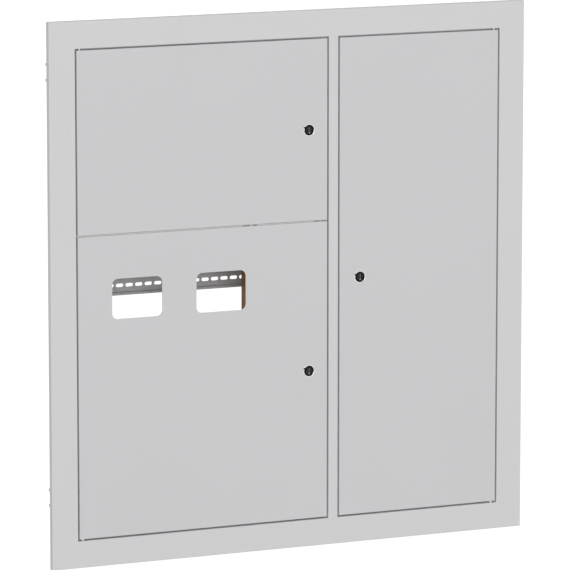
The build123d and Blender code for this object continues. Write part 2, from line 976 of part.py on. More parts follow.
def make_body_stud():
    """Main earth stud on the left wall, with washer and nut."""
    seat = -inner_half_width
    stud_end = seat + body_stud_length
    washer_end = seat + earth_washer_thickness
    stud = rod_x(body_stud_depth, body_stud_level, earth_stud_radius, seat, stud_end)
    stud += rod_x(body_stud_depth, body_stud_level, earth_washer_radius, seat, washer_end)
    outline = RegularPolygon(earth_nut_across_flats / 2, 6, major_radius=False)
    nut = Pos(washer_end, back(body_stud_depth), body_stud_level) * Rot(0, 90, 0)
    return stud + nut * extrude(outline, earth_nut_thickness)


os.makedirs("parts", exist_ok=True)

# Frame and body
save("front_frame", make_frame())
save("left_wall", make_side_wall(-1))
save("right_wall", make_side_wall(1))
save("top_wall", make_end_wall(1))
save("bottom_wall", make_end_wall(-1))
save("centre_partition", make_centre_partition())
save("section_shelf", make_shelf())

# Meter compartment
save("insulating_partition", make_insulating_partition())
save("partition_angles", group(make_partition_angles()))
save("partition_screws", group(make_partition_screws()))

# Rails and their uprights
rails = {
    "meter_rail": meter_rail_level,
    "service_rail": service_rail_level,
    "lower_breaker_rail": lower_breaker_rail_level,
    "upper_breaker_rail": upper_breaker_rail_level,
}
rail_screws = []
for name, level in rails.items():
    save(name, make_rail(level, level == meter_rail_level))
    for x in (left_upright_x, middle_upright_x):
        seat = rail_back - rail_sheet
        rail_screws.append(
            pan_head_y(x, level, m5_radius, m5_head_radius, m5_head_thickness, seat, m5_length)
        )
save("left_upright", make_upright(left_upright_x))
save("middle_upright", make_upright(middle_upright_x))

# Breaker cover
save("breaker_cover", make_cover())
save("cover_brackets", group(make_cover_brackets()))
cover_screws = []
for x, z in cover_screw_places():
    cover_screws.append(
        pan_head_y(x, z, m5_radius, m5_head_radius, m5_head_thickness, cover_depth, m5_length)
    )
save("cover_screws", group(cover_screws))

# Neutral and earth bars
bars = {"neutral_bar": bar_strip_level + bar_offset, "earth_bar": bar_strip_level - bar_offset}
bar_screws = []
bar_insulators = []
for name, level in bars.items():
    save(name, make_bar(level))
    bar_screws += make_bar_screws(level)
    bar_insulators += make_insulators(level)
save("bar_screws", group(bar_screws))
save("bar_insulators", group(bar_insulators))
save("bar_strip", make_bar_strip())
strip_seat = rail_back - bar_strip_sheet
for x in (left_upright_x, middle_upright_x):
    rail_screws.append(
        pan_head_y(
            x,
            bar_strip_level,
            m5_radius,
            m5_head_radius,
            m5_head_thickness,
            strip_seat,
            m5_length,
        )
    )
save("rail_screws", group(rail_screws))

# Low current compartment
strip_names = ("lower_equipment_strip", "middle_equipment_strip", "upper_equipment_strip")
for name, level in zip(strip_names, strip_levels):
    save(name, make_strip(level))

# Wall anchors, cable grommets and the main earth stud
anchors = []
grommets = []
for side in (-1, 1):
    for level in (-anchor_level, anchor_level):
        anchors.append(make_wall_anchor(side, level))
    for level in grommet_levels:
        grommets.append(make_grommet(side, level))
save("wall_anchors", group(anchors))
save("cable_grommets", group(grommets))
save("body_earth_stud", make_body_stud())

# Doors with their hinge pins, locks and earth studs
left_hinge = opening_left + hinge_inset
right_hinge = opening_right - hinge_inset
left_door_x0 = opening_left + door_gap
left_door_x1 = mullion_left - door_gap
right_door_x0 = mullion_right + door_gap
right_door_x1 = opening_right - door_gap
door_top = opening_top - door_gap
upper_door_z0 = shelf_top + fin_gap
lower_door_z1 = shelf_bottom - fin_gap

middle_pin_hole = rod_z(
    left_hinge,
    hinge_depth,
    pin_radius + running_clearance,
    section_line - middle_pin_reach - overrun,
    section_line + middle_pin_reach + overrun,
)
pin_seats = rod_z(left_hinge, hinge_depth, pin_radius, -half_height, half_height)
pin_seats_right = rod_z(right_hinge, hinge_depth, pin_radius, -half_height, half_height)

left_lock_x = mullion_left - left_lock_inset
right_lock_x = mullion_right + right_lock_inset
locks = {
    "upper": (left_lock_x, (section_line + opening_top) / 2 + upper_lock_rise),
    "lower": (left_lock_x, (section_line - opening_top) / 2 + lower_lock_rise),
    "right": (right_lock_x, right_lock_rise),
}

upper_door = make_door(left_door_x0, left_door_x1, upper_door_z0, door_top, *locks["upper"])
save("upper_door", upper_door - middle_pin_hole - pin_seats)

lower_door = make_door(left_door_x0, left_door_x1, -door_top, lower_door_z1, *locks["lower"])
for x in window_centres:
    lower_door -= window_y(
        x, window_level, window_width, window_height, window_corner, -overrun, door_sheet + overrun
    )
save("lower_door", lower_door - middle_pin_hole - pin_seats)

right_door = make_door(right_door_x0, right_door_x1, -door_top, door_top, *locks["right"])
save("right_door", right_door - pin_seats_right)

save("upper_door_hinge_pin", make_hinge_pin(left_hinge, 1, door_top))
save("lower_door_hinge_pin", make_hinge_pin(left_hinge, -1, -door_top))
right_pins = (
    make_hinge_pin(right_hinge, 1, door_top),
    make_hinge_pin(right_hinge, -1, -door_top),
)
save("right_door_hinge_pins", group(right_pins))
middle_pin = rod_z(
    left_hinge,
    hinge_depth,
    pin_radius,
    section_line - middle_pin_reach,
    section_line + middle_pin_reach,
)
save("middle_hinge_pin", middle_pin)

for name, (x, z) in locks.items():
    save(name + "_lock_housing", make_lock_housing(x, z))
    save(name + "_lock_nut", make_lock_nut(x, z))
    save(name + "_lock_core", make_lock_core(x, z))
    save(name + "_lock_cam", make_lock_cam(x, z))
    save(name + "_cam_screw", make_cam_screw(x, z))

door_studs = {
    "upper": (left_door_x0 + earth_stud_inset, upper_door_z0 + earth_stud_rise),
    "lower": (left_door_x0 + earth_stud_inset, -door_top + earth_stud_rise),
    "right": (right_door_x1 - earth_stud_inset, -door_top + earth_stud_rise),
}
for name, (x, z) in door_studs.items():
    save(name + "_door_earth_stud", make_earth_stud(x, z, door_sheet))

# Rubber buffers on the mullion ledges
left_buffer_x = left_door_x1 - door_sheet / 2
right_buffer_x = right_door_x0 + door_sheet / 2
buffer_places = []
for z in (upper_door_z0 + buffer_end_distance, door_top - buffer_end_distance):
    buffer_places.append((left_buffer_x, z))
for z in (-door_top + buffer_end_distance, lower_door_z1 - buffer_end_distance):
    buffer_places.append((left_buffer_x, z))
for z in (-door_top + buffer_end_distance, door_top - buffer_end_distance):
    buffer_places.append((right_buffer_x, z))
save("door_buffers", group([make_buffer(x, z) for x, z in buffer_places]))
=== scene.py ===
"""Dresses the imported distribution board: finishes, fasteners, locks, seals and the stage."""

import json
import math
from functools import partial

import bmesh
import bpy
import numpy as np
from bpy.props import FloatProperty, FloatVectorProperty, PointerProperty
from bpy.types import Operator, Panel, PropertyGroup
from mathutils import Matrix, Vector


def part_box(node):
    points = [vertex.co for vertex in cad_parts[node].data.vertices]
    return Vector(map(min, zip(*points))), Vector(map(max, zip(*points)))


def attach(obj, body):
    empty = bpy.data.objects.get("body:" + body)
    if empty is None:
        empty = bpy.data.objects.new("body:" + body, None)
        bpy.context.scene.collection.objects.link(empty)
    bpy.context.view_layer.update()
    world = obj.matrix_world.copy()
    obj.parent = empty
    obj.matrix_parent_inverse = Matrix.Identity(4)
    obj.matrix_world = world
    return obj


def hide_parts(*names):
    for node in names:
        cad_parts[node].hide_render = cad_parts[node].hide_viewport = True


bl_info = {
    "name": "Distribution board dresser",
    "version": (1, 0, 0),
    "blender": (4, 5, 0),
    "location": "3D View > Sidebar > Board",
    "description": "Finishes and fine pieces of a flush floor distribution board",
    "category": "Object",
}

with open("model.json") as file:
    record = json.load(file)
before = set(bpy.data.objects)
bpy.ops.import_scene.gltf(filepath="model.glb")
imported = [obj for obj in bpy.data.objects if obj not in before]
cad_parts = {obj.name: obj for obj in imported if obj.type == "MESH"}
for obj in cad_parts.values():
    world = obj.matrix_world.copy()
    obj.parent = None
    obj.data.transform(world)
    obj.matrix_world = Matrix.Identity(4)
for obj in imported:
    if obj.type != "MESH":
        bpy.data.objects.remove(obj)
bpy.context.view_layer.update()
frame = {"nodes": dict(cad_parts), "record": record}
NODES = frame["nodes"]
SLOT_OF_NODE = {part["node"]: part["material_slot"] for part in frame["record"]["subparts"]}
BODY_OF_NODE = {
    node: body for body, nodes in frame["record"]["behaviour"]["bodies"].items() for node in nodes
}
LOCKS = ("upper", "lower", "right")

# Metres in a millimetre, and the distances in metres that make a mesh clean
MM = 0.001
MERGE_DISTANCE = 1e-7
COLLAPSE_DISTANCE = 1e-8

INTO_WALL = (0.0, 1.0, 0.0)
OUT_OF_WALL = (0.0, -1.0, 0.0)
TO_THE_RIGHT = (1.0, 0.0, 0.0)

# Degrees between two faces from which their edge is sharp
SHARP = 32.0
SHARP_HOUSING = 40.0
SHARP_MOULDED = 50.0
SHARP_SMALL = 60.0

# Screws and earth studs, in millimetres
HEAD_HEIGHT = 3.0
SHANK = {"radius": 2.48, "pitch": 0.8, "rings_per_pitch": 6, "columns": 28}
SHORTEST_SHANK = 1.0
EARTH_STUD = {"radius": 3.0, "washer": 6.0, "washer_height": 1.2, "nut": 10.0, "nut_height": 5.0}
STUD_PITCH = 1.0
THREAD_SHARE = 0.55

# The part of a noise's range that most of its values lie in
NOISE_RANGE = (0.3, 0.7)


# Surfaces


def grid_faces(rows, columns, close_rows=False):
    """Quads of a grid of points that closes across its columns, and across its rows if asked.

    Point (i, j) has index i * columns + j, and each quad joins it to its next neighbours."""
    i = np.arange(rows if close_rows else rows - 1)
    j = np.arange(columns)
    i, j = np.meshgrid(i, j, indexing="ij")
    down, across = (i + 1) % rows, (j + 1) % columns
    corners = (i * columns + j, down * columns + j, down * columns + across, i * columns + across)
    return np.stack(corners, axis=-1).reshape(-1, 4)


def turned(along, radius, angles, close_rows=False):
    """Points and faces about the local Z axis: x = r cos a, y = r sin a, z = along.

    along and radius are arrays of one row per ring and one column per angle, or one column."""
    radius = np.broadcast_to(radius, (len(along), len(angles)))
    along = np.broadcast_to(along, radius.shape)
    points = np.stack((radius * np.cos(angles), radius * np.sin(angles), along), axis=-1)
    return points.reshape(-1, 3), grid_faces(*radius.shape, close_rows)


def ring_angles(count):
    """Equal angles round a circle, without the last one that would repeat the first."""
    return np.linspace(0.0, 2.0 * np.pi, count, endpoint=False)


def column(values):
    """A list of values as one column."""
    return np.asarray(values, float).reshape(-1, 1)


def blunted(values, power):
    """Sines or cosines raised to a power below 1 with their sign kept, which squares a circle."""
    return np.sign(values) * np.abs(values) ** power


def resampled(profile, step):
    """Points along a profile of (radius, along) corners, no further apart than step.

    Each run is divided evenly, so that a thread or a flat has rings to follow."""
    corners = np.asarray(profile, float)
    runs = np.linalg.norm(np.diff(corners, axis=0), axis=1)
    counts = np.maximum(1, np.ceil(runs / step).astype(int))
    marks = np.concatenate([k + np.arange(n) / n for k, n in enumerate(counts)] + [[len(runs)]])
    index = np.arange(len(corners))
    return np.stack([np.interp(marks, index, corners[:, axis]) for axis in (0, 1)], axis=1)


def thread_depth(along, angles, pitch, height):
    """How far a thread's flank lies below its crest.

    It is height * |2 f - 1|, f being the fraction of the turn z / pitch - a / (2 pi)."""
    turn = along / pitch - angles / (2.0 * np.pi)
    return height * np.abs(2.0 * (turn - np.floor(turn)) - 1.0)


def hexagon_radius(angles, across_flats):
    """Radius of a hexagon: half its width over flats divided by cos(a mod 60 - 30 degrees)."""
    sixth = np.pi / 3.0
    return across_flats / 2.0 / np.cos(np.mod(angles, sixth) - sixth / 2.0)


def placed(shape, origin, direction):
    """A (points, faces) pair in millimetres with its Z along direction and its 0 at origin.

    The origin is in metres, and so are the points that come back."""
    points, faces = shape
    turn = Vector(direction).to_track_quat("Z", "Y").to_matrix()
    return points * MM @ np.array(turn).T + np.asarray(origin, float), faces


def joined(shapes):
    """Several (points, faces) pairs as one, with each pair's face indices moved past the last's."""
    starts = np.cumsum([0] + [len(points) for points, _ in shapes[:-1]])
    points = np.concatenate([points for points, _ in shapes])
    faces = np.concatenate([faces + start for (_, faces), start in zip(shapes, starts)])
    return points, faces


def make_piece(name, shapes, body, slot, sharp=SHARP, finish=None):
    """A mesh object from (points, faces) pairs, with poles merged and faces turned outwards.

    It has its slot's material, or the one of the finish that is named."""
    points, faces = joined(shapes)
    mesh = bpy.data.meshes.new(name)
    mesh.from_pydata(points.tolist(), [], faces.tolist())
    shape = bmesh.new()
    shape.from_mesh(mesh)
    bmesh.ops.remove_doubles(shape, verts=shape.verts, dist=MERGE_DISTANCE)
    bmesh.ops.dissolve_degenerate(shape, edges=shape.edges, dist=COLLAPSE_DISTANCE)
    bmesh.ops.recalc_face_normals(shape, faces=shape.faces)
    shape.to_mesh(mesh)
    shape.free()
    mesh.shade_smooth()
    mesh.set_sharp_from_angle(angle=math.radians(sharp))
    piece = bpy.data.objects.new(name, mesh)
    bpy.context.scene.collection.objects.link(piece)
    mesh.materials.append(material_for(finish or slot))
    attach(piece, body)
    return piece


def solid_boxes(node):
    """Lowest and highest corner of each separate solid of a CAD node.

    Points in one place are one point. Every edge hands its lower label to both of its ends, and
    each label is then followed to its own label, until nothing changes."""
    mesh = NODES[node].data
    points = np.empty(len(mesh.vertices) * 3)
    mesh.vertices.foreach_get("co", points)
    points = points.reshape(-1, 3)
    edges = np.empty(len(mesh.edges) * 2, np.int32)
    mesh.edges.foreach_get("vertices", edges)
    _, same = np.unique(np.round(points, 6), axis=0, return_inverse=True)
    ends = same.ravel()[edges].reshape(-1, 2)
    label = np.arange(same.max() + 1)
    changed = True
    while changed:
        lowest = label[ends].min(axis=1)
        fresh = label.copy()
        np.minimum.at(fresh, ends[:, 0], lowest)
        np.minimum.at(fresh, ends[:, 1], lowest)
        fresh = fresh[fresh]
        changed = bool((fresh != label).any())
        label = fresh
    solid = label[same.ravel()]
    groups = [points[solid == value] for value in np.unique(solid)]
    return [(group.min(axis=0), group.max(axis=0)) for group in groups]


# Shader nodes


def feed(tree, socket, value):
    """Links an output to an input socket, or sets the input to a value."""
    if isinstance(value, bpy.types.NodeSocket):
        tree.links.new(value, socket)
    else:
        socket.default_value = value


def node_group(name, values, results):
    """A new shader node group with a Place and named values going in and named results out."""
    group = bpy.data.node_groups.new(name, "ShaderNodeTree")
    sockets = group.interface
    sockets.new_socket(name="Place", in_out="INPUT", socket_type="NodeSocketVector")
    for label, value in values.items():
        socket = sockets.new_socket(name=label, in_out="INPUT", socket_type="NodeSocketFloat")
        socket.default_value = value
    for label in results:
        sockets.new_socket(name=label, in_out="OUTPUT", socket_type="NodeSocketFloat")
    start = group.nodes.new("NodeGroupInput")
    end = group.nodes.new("NodeGroupOutput")
    return group, start.outputs, end.inputs


def math_node(tree, operation, *values):
    """A Math node whose inputs are sockets or numbers."""
    node = tree.nodes.new("ShaderNodeMath")
    node.operation = operation
    for socket, value in zip(node.inputs, values):
        feed(tree, socket, value)
    return node.outputs["Value"]


def stretched(tree, place, scale):
    """A place with each of its axes multiplied by its own scale."""
    node = tree.nodes.new("ShaderNodeVectorMath")
    node.operation = "MULTIPLY"
    feed(tree, node.inputs[0], place)
    feed(tree, node.inputs[1], scale)
    return node.outputs["Vector"]


def noise(tree, place, scale, detail, roughness=0.5):
    """A Noise Texture's value at a place."""
    node = tree.nodes.new("ShaderNodeTexNoise")
    feed(tree, node.inputs["Vector"], place)
    feed(tree, node.inputs["Scale"], scale)
    feed(tree, node.inputs["Detail"], detail)
    feed(tree, node.inputs["Roughness"], roughness)
    return node.outputs["Fac"]


def map_range(tree, value, source, target):
    """A value carried from one (low, high) range to another and held inside it."""
    node = tree.nodes.new("ShaderNodeMapRange")
    feed(tree, node.inputs["Value"], value)
    labels = ("From Min", "From Max", "To Min", "To Max")
    for label, end in zip(labels, (*source, *target)):
        feed(tree, node.inputs[label], end)
    return node.outputs["Result"]


def tint_by(tree, surface, factor, colour, low, high):
    """Base colour mixed by a factor, between a colour changed by two shares of itself."""
    node = tree.nodes.new("ShaderNodeMix")
    node.data_type = "RGBA"
    feed(tree, node.inputs["Factor"], factor)
    for label, share in (("A", low), ("B", high)):
        channels = (min(1.0, max(0.0, channel * (1.0 + share))) for channel in colour)
        feed(tree, node.inputs[label], (*channels, 1.0))
    feed(tree, surface["Base Color"], node.outputs["Result"])


def make_powder_group():
    """Powder coat: orange peel height of two noises, and a faint cloud for the colour."""
    group, given, result = node_group(
        "Powder coat texture",
        {"Peel scale": 520.0, "Cloud scale": 5.0},
        ("Height", "Cloud", "Gloss"),
    )
    fine_ratio, fine_share, gloss_swing = 4.0, 0.25, 0.03
    peel = noise(group, given["Place"], given["Peel scale"], 2.0)
    fine_scale = math_node(group, "MULTIPLY", given["Peel scale"], fine_ratio)
    fine = noise(group, given["Place"], fine_scale, 1.0)
    feed(group, result["Height"], math_node(group, "MULTIPLY_ADD", fine, fine_share, peel))
    feed(group, result["Cloud"], noise(group, given["Place"], given["Cloud scale"], 3.0))
    gloss = map_range(group, peel, NOISE_RANGE, (-gloss_swing, gloss_swing))
    feed(group, result["Gloss"], gloss)
    return group


def make_zinc_group():
    """Zinc coat: flat crystals of a cell pattern, broken by a fine drawn grain along X."""
    group, given, result = node_group(
        "Zinc crystals",
        {"Crystal scale": 160.0, "Grain scale": 1400.0, "Contrast": 0.5},
        ("Shade", "Rough", "Height"),
    )
    middle, streak_swing, rough_swing, grain_share = 0.5, 0.12, 0.07, 0.5
    drawn_along_x = (0.05, 1.0, 1.0)
    cells = group.nodes.new("ShaderNodeTexVoronoi")
    feed(group, cells.inputs["Vector"], given["Place"])
    feed(group, cells.inputs["Scale"], given["Crystal scale"])
    tone = group.nodes.new("ShaderNodeSeparateColor")
    feed(group, tone.inputs["Color"], cells.outputs["Color"])
    place = stretched(group, given["Place"], drawn_along_x)
    grain = noise(group, place, given["Grain scale"], 3.0)
    centred = math_node(group, "SUBTRACT", tone.outputs["Red"], middle)
    lifted = math_node(group, "MULTIPLY", centred, given["Contrast"])
    streak = map_range(group, grain, (0.25, 0.75), (-streak_swing, streak_swing))
    shade = math_node(group, "ADD", math_node(group, "ADD", lifted, streak), middle)
    feed(group, result["Shade"], shade)
    rough = map_range(group, shade, (0.0, 1.0), (-rough_swing, rough_swing))
    feed(group, result["Rough"], rough)
    feed(group, result["Height"], math_node(group, "MULTIPLY_ADD", grain, grain_share, shade))
    return group


def make_handling_group():
    """Handling marks: sparse fine scratches and soft smudges that change the gloss."""
    group, given, result = node_group(
        "Handling marks", {"Scratch scale": 260.0, "Amount": 0.3}, ("Mark", "Smudge")
    )
    long_along_z, smudge_scale, smudge_swing = (1.0, 1.0, 0.12), 22.0, 0.04
    place = stretched(group, given["Place"], long_along_z)
    lines = noise(group, place, given["Scratch scale"], 4.0, 0.6)
    crests = map_range(group, lines, (0.64, 0.7), (0.0, 1.0))
    feed(group, result["Mark"], math_node(group, "MULTIPLY", crests, given["Amount"]))
    smudge = noise(group, given["Place"], smudge_scale, 3.0)
    swing = map_range(group, smudge, (0.35, 0.65), (-smudge_swing, smudge_swing))
    feed(group, result["Smudge"], swing)
    return group


GROUPS = {}
GROUP_MAKERS = {
    "powder": make_powder_group,
    "zinc": make_zinc_group,
    "handling": make_handling_group,
}


def group_in(tree, kind, place, **values):
    """One of the shared groups placed in a material with its own values.

    The group is built the first time it is asked for."""
    if kind not in GROUPS:
        GROUPS[kind] = GROUP_MAKERS[kind]()
    node = tree.nodes.new("ShaderNodeGroup")
    node.node_tree = GROUPS[kind]
    feed(tree, node.inputs["Place"], place)
    for label, value in values.items():
        feed(tree, node.inputs[label.replace("_", " ")], value)
    return node.outputs


def new_material(name):
    """A material with its tree, its Principled shader's inputs and Object coordinates."""
    material = bpy.data.materials.new(name)
    material.use_nodes = True
    tree = material.node_tree
    place = tree.nodes.new("ShaderNodeTexCoord").outputs["Object"]
    return material, tree, tree.nodes["Principled BSDF"].inputs, place


def bump_into(tree, surface, height, strength, depth):
    """A height of a given depth in metres carried to the shader's normal."""
    bump = tree.nodes.new("ShaderNodeBump")
    feed(tree, bump.inputs["Strength"], strength)
    feed(tree, bump.inputs["Distance"], depth)
    feed(tree, bump.inputs["Height"], height)
    feed(tree, surface["Normal"], bump.outputs["Normal"])


def powder_coat(name, colour, rough, peel):
    """Satin powder coat with orange peel and a faint cloud in its colour."""
    material, tree, surface, place = new_material(name)
    cloud_share, specular, peel_depth = 0.015, 0.25, 0.04 * MM
    texture = group_in(tree, "powder", place)
    tint_by(tree, surface, texture["Cloud"], colour, -cloud_share, cloud_share)
    feed(tree, surface["Roughness"], math_node(tree, "ADD", texture["Gloss"], rough))
    feed(tree, surface["Specular IOR Level"], specular)
    bump_into(tree, surface, texture["Height"], peel, peel_depth)
    return material


def zinc_coat(name, colour, rough, crystal, contrast, metallic):
    """Zinc on steel, with crystals and a drawn grain."""
    material, tree, surface, place = new_material(name)
    shade_share, mark_gloss, relief, relief_depth = 0.22, -0.12, 0.15, 0.03 * MM
    zinc = group_in(tree, "zinc", place, Crystal_scale=crystal, Contrast=contrast)
    marks = group_in(tree, "handling", place, Amount=0.25)
    tint_by(tree, surface, zinc["Shade"], colour, -shade_share, shade_share)
    base = math_node(tree, "ADD", zinc["Rough"], rough)
    marked = math_node(tree, "MULTIPLY_ADD", marks["Mark"], mark_gloss, base)
    feed(tree, surface["Roughness"], marked)
    feed(tree, surface["Metallic"], metallic)
    bump_into(tree, surface, zinc["Height"], relief, relief_depth)
    return material


def laminate(name, colour):
    """Satin phenolic laminate: brown resin with a cloudy paper ground under a clear skin."""
    material, tree, surface, place = new_material(name)
    fibre_share, cloud_share, shade_share = 0.4, 0.6, 0.25
    rough, specular, relief, relief_depth = 0.5, 0.08, 0.05, 0.03 * MM
    fibre = noise(tree, place, 90.0, 6.0, 0.65)
    cloud = noise(tree, place, 9.0, 3.0)
    fibres = math_node(tree, "MULTIPLY", fibre, fibre_share)
    blend = math_node(tree, "MULTIPLY_ADD", cloud, cloud_share, fibres)
    span = map_range(tree, blend, NOISE_RANGE, (0.0, 1.0))
    tint_by(tree, surface, span, colour, -shade_share, shade_share)
    marks = group_in(tree, "handling", place, Amount=0.2)
    feed(tree, surface["Roughness"], math_node(tree, "ADD", marks["Smudge"], rough))
    feed(tree, surface["Specular IOR Level"], specular)
    bump_into(tree, surface, fibre, relief, relief_depth)
    return material


def moulded(name, colour, rough, grain, specular):
    """Moulded plastic or rubber with a fine spark-eroded grain."""
    material, tree, surface, place = new_material(name)
    skin_share, worn_lift, relief, relief_depth = 0.4, 0.9, 0.25, 0.04 * MM
    skin = noise(tree, place, grain, 3.0, 0.6)
    marks = group_in(tree, "handling", place, Amount=0.3)
    worn = math_node(tree, "MULTIPLY_ADD", skin, skin_share, marks["Mark"])
    tint_by(tree, surface, worn, colour, 0.0, worn_lift)
    feed(tree, surface["Roughness"], math_node(tree, "ADD", marks["Smudge"], rough))
    feed(tree, surface["Specular IOR Level"], specular)
    bump_into(tree, surface, skin, relief, relief_depth)
    return material


def drawn_brass(name, colour):
    """Drawn brass bar with fine lines along its length and soft tarnish."""
    material, tree, surface, place = new_material(name)
    drawn_along_x, bright_lift, tarnish_share = (0.03, 1.0, 1.0), 0.12, -0.3
    line_scale, rough_range, relief, relief_depth = 1800.0, (0.25, 0.42), 0.2, 0.03 * MM
    lines = noise(tree, stretched(tree, place, drawn_along_x), line_scale, 3.0)
    tarnish = noise(tree, place, 60.0, 4.0)
    tint_by(tree, surface, tarnish, colour, bright_lift, tarnish_share)
    feed(tree, surface["Metallic"], 1.0)
    feed(tree, surface["Roughness"], map_range(tree, lines, (0.2, 0.8), rough_range))
    bump_into(tree, surface, lines, relief, relief_depth)
    return material


MATERIALS = {}


def material_for(slot):
    """The finish of a record slot or of one of the lock's small pieces, made the first time."""
    if slot not in MATERIALS:
        MATERIALS[slot] = new_finish(slot, bpy.context.scene.board_finish)
    return MATERIALS[slot]


def new_finish(slot, finish):
    """A new material for a slot, with the panel's colours.

    After its colour a coat of zinc has its roughness, the scale and contrast of its crystals and
    how metallic it is, and a moulding has its roughness, its grain's scale and its specular
    level."""
    paints = {
        "frame_paint": finish.frame_colour,
        # The doors' grey is set a little darker than the frame's
        "door_paint": finish.door_colour,
        "body_paint": finish.body_colour,
    }
    zincs = {
        "galvanised_steel": (finish.zinc_colour, 0.46, 170.0, 0.25, 0.4),
        "zinc_fasteners": (finish.fastener_colour, 0.3, 900.0, 0.25, 0.9),
        "lock_metal": (finish.lock_metal_colour, 0.36, 1200.0, 0.3, 0.9),
        "bright_nickel": (finish.nickel_colour, 0.22, 1500.0, 0.05, 0.9),
    }
    mouldings = {
        "lock_black": (finish.lock_colour, 0.4, 2600.0, 0.08),
        # The shutter's grey is lighter than the housing's: it is a painted highlight for the lit
        # inner wall of the key slot
        "key_shutter": (finish.shutter_painted_highlight_colour, 0.4, 2600.0, 0.2),
        "core_cap": (finish.cap_colour, 0.42, 2600.0, 0.1),
        "insulator_plastic": (finish.insulator_colour, 0.45, 1500.0, 0.5),
        "black_rubber": (finish.rubber_colour, 0.7, 1100.0, 0.5),
    }
    if slot in paints:
        return powder_coat(slot, paints[slot], finish.paint_roughness, finish.peel)
    if slot in zincs:
        return zinc_coat(slot, *zincs[slot])
    if slot in mouldings:
        return moulded(slot, *mouldings[slot])
    if slot == "brown_laminate":
        return laminate(slot, finish.laminate_colour)
    if slot == "brass":
        return drawn_brass(slot, finish.brass_colour)
    raise RuntimeError(f"no finish for slot {slot}")


# Pieces


def threaded_rod(length, radius, pitch, rings_per_pitch=8, columns=36):
    """Rod from 0 to length: the radius less the thread's depth, with bevelled and closed ends.

    The bevel takes the thread's depth off the radius over the same length at each end."""
    height = THREAD_SHARE * pitch
    count = max(8, int(round(length / pitch * rings_per_pitch)))
    along = np.concatenate([[0.0], np.linspace(0.0, length, count), [length]])
    angles = ring_angles(columns)
    bevel = np.minimum(along, length - along)
    limit = radius - np.maximum(0.0, height - bevel)
    reach = np.minimum(radius - thread_depth(column(along), angles, pitch, height), column(limit))
    reach[0] = reach[-1] = 0.0
    return turned(column(along), reach, angles)


def closed_head(top, reach, angles):
    """A head from the heights and radii of its rings, closed by a point at its foot."""
    foot = np.zeros((1, len(angles)))
    reach = np.concatenate([np.broadcast_to(reach, top.shape), foot])
    return turned(np.concatenate([top, foot]), reach, angles)


def cross_head(radius, height, columns=72, rings=26):
    """Pan head on z = 0 with a cross recess.

    Its crown is h (1 - (r / R)^4)^(1/4). Each arm of the recess sinks by a depth that is full
    within half the arm's width and falls to nothing at its end."""
    arm, end, depth = 0.14 * radius, 0.56 * radius, 0.62 * height
    wall_width, slope = 0.05 * radius, 0.3 * radius
    angles = ring_angles(columns)
    share = column(np.sin(np.linspace(0.0, np.pi / 2.0, rings)))
    reach = share * radius
    crown = height * (1.0 - share**4) ** 0.25
    x = reach * np.cos(angles)
    y = reach * np.sin(angles)
    sink = np.zeros_like(x)
    for across, on in ((np.abs(x), np.abs(y)), (np.abs(y), np.abs(x))):
        wall = np.clip((arm - across) / wall_width + 0.5, 0.0, 1.0)
        fall = np.clip((end - on) / slope, 0.0, 1.0)
        sink = np.maximum(sink, wall * fall)
    return closed_head(crown - depth * sink, reach, angles)


def slot_head(radius, height, columns=72, rings=22):
    """Cylinder head on z = 0 with a slot: h (1 - (r / R)^10)^(1/10), less a trench along X."""
    half_slot, wall_width, depth_share = 0.16 * radius, 0.04 * radius, 0.45
    angles = ring_angles(columns)
    share = column(np.sin(np.linspace(0.0, np.pi / 2.0, rings)))
    reach = share * radius
    crown = height * (1.0 - share**10) ** 0.1
    across = np.abs(reach * np.sin(angles))
    trench = np.clip((half_slot - across) / wall_width + 0.5, 0.0, 1.0)
    top = crown - trench * depth_share * height
    top[-1] = 0.0
    return closed_head(top, reach, angles)


def stud_with_nut(length, radius, washer, washer_height, nut, nut_height):
    """Weld stud from z = 0 with its washer and nut, each a closed surface about local Z.

    The nut's radius is the hexagon's, cut at both ends by a 30 degree cone that starts at a
    share of the width over flats."""
    bevel, step, columns, nut_rings = 0.15, 2.0, 72, 15
    cone_share, cone_slope = 0.475, math.tan(math.radians(60.0))
    angles = ring_angles(columns)
    washer_profile = [
        (0.0, 0.0),
        (washer - bevel, 0.0),
        (washer, bevel),
        (washer, washer_height - bevel),
        (washer - bevel, washer_height),
        (0.0, washer_height),
    ]
    base, top = washer_height, washer_height + nut_height
    along = np.concatenate([[base], np.linspace(base, top, nut_rings), [top]])
    end = np.minimum(along - base, top - along)
    cone = nut * cone_share + column(end) * cone_slope
    reach = np.minimum(hexagon_radius(angles, nut), cone)
    reach[0] = reach[-1] = 0.0
    return [
        threaded_rod(length, radius, STUD_PITCH),
        revolved(resampled(washer_profile, step), columns),
        turned(column(along), reach, angles),
    ]


def revolved(profile, columns):
    """A closed profile of (radius, along) corners turned about local Z."""
    points = np.asarray(profile, float)
    return turned(column(points[:, 1]), column(points[:, 0]), ring_angles(columns))


def rounded_profile(profile, radius, steps=4):
    """A profile whose corners are cut by short arcs.

    Each inner corner gives the points of a quadratic curve between two places that lie radius
    away from it on its two runs, or half a run where that is shorter."""
    corners = np.asarray(profile, float)
    before, at, after = corners[:-2], corners[1:-1], corners[2:]
    back = before - at
    ahead = after - at
    back_length = np.linalg.norm(back, axis=1, keepdims=True)
    ahead_length = np.linalg.norm(ahead, axis=1, keepdims=True)
    reach = np.minimum(radius, np.minimum(back_length, ahead_length) / 2.0)
    first = at + back / back_length * reach
    last = at + ahead / ahead_length * reach
    t = np.linspace(0.0, 1.0, steps + 1)[None, :, None]
    first, at, last = first[:, None], at[:, None], last[:, None]
    curve = (1 - t) ** 2 * first + 2 * t * (1 - t) * at + t**2 * last
    return np.concatenate([corners[:1], curve.reshape(-1, 2), corners[-1:]])


def measured(low, high):
    """Centre of a box in metres, and its three sides in millimetres."""
    return (low + high) / 2.0, (high - low) / MM


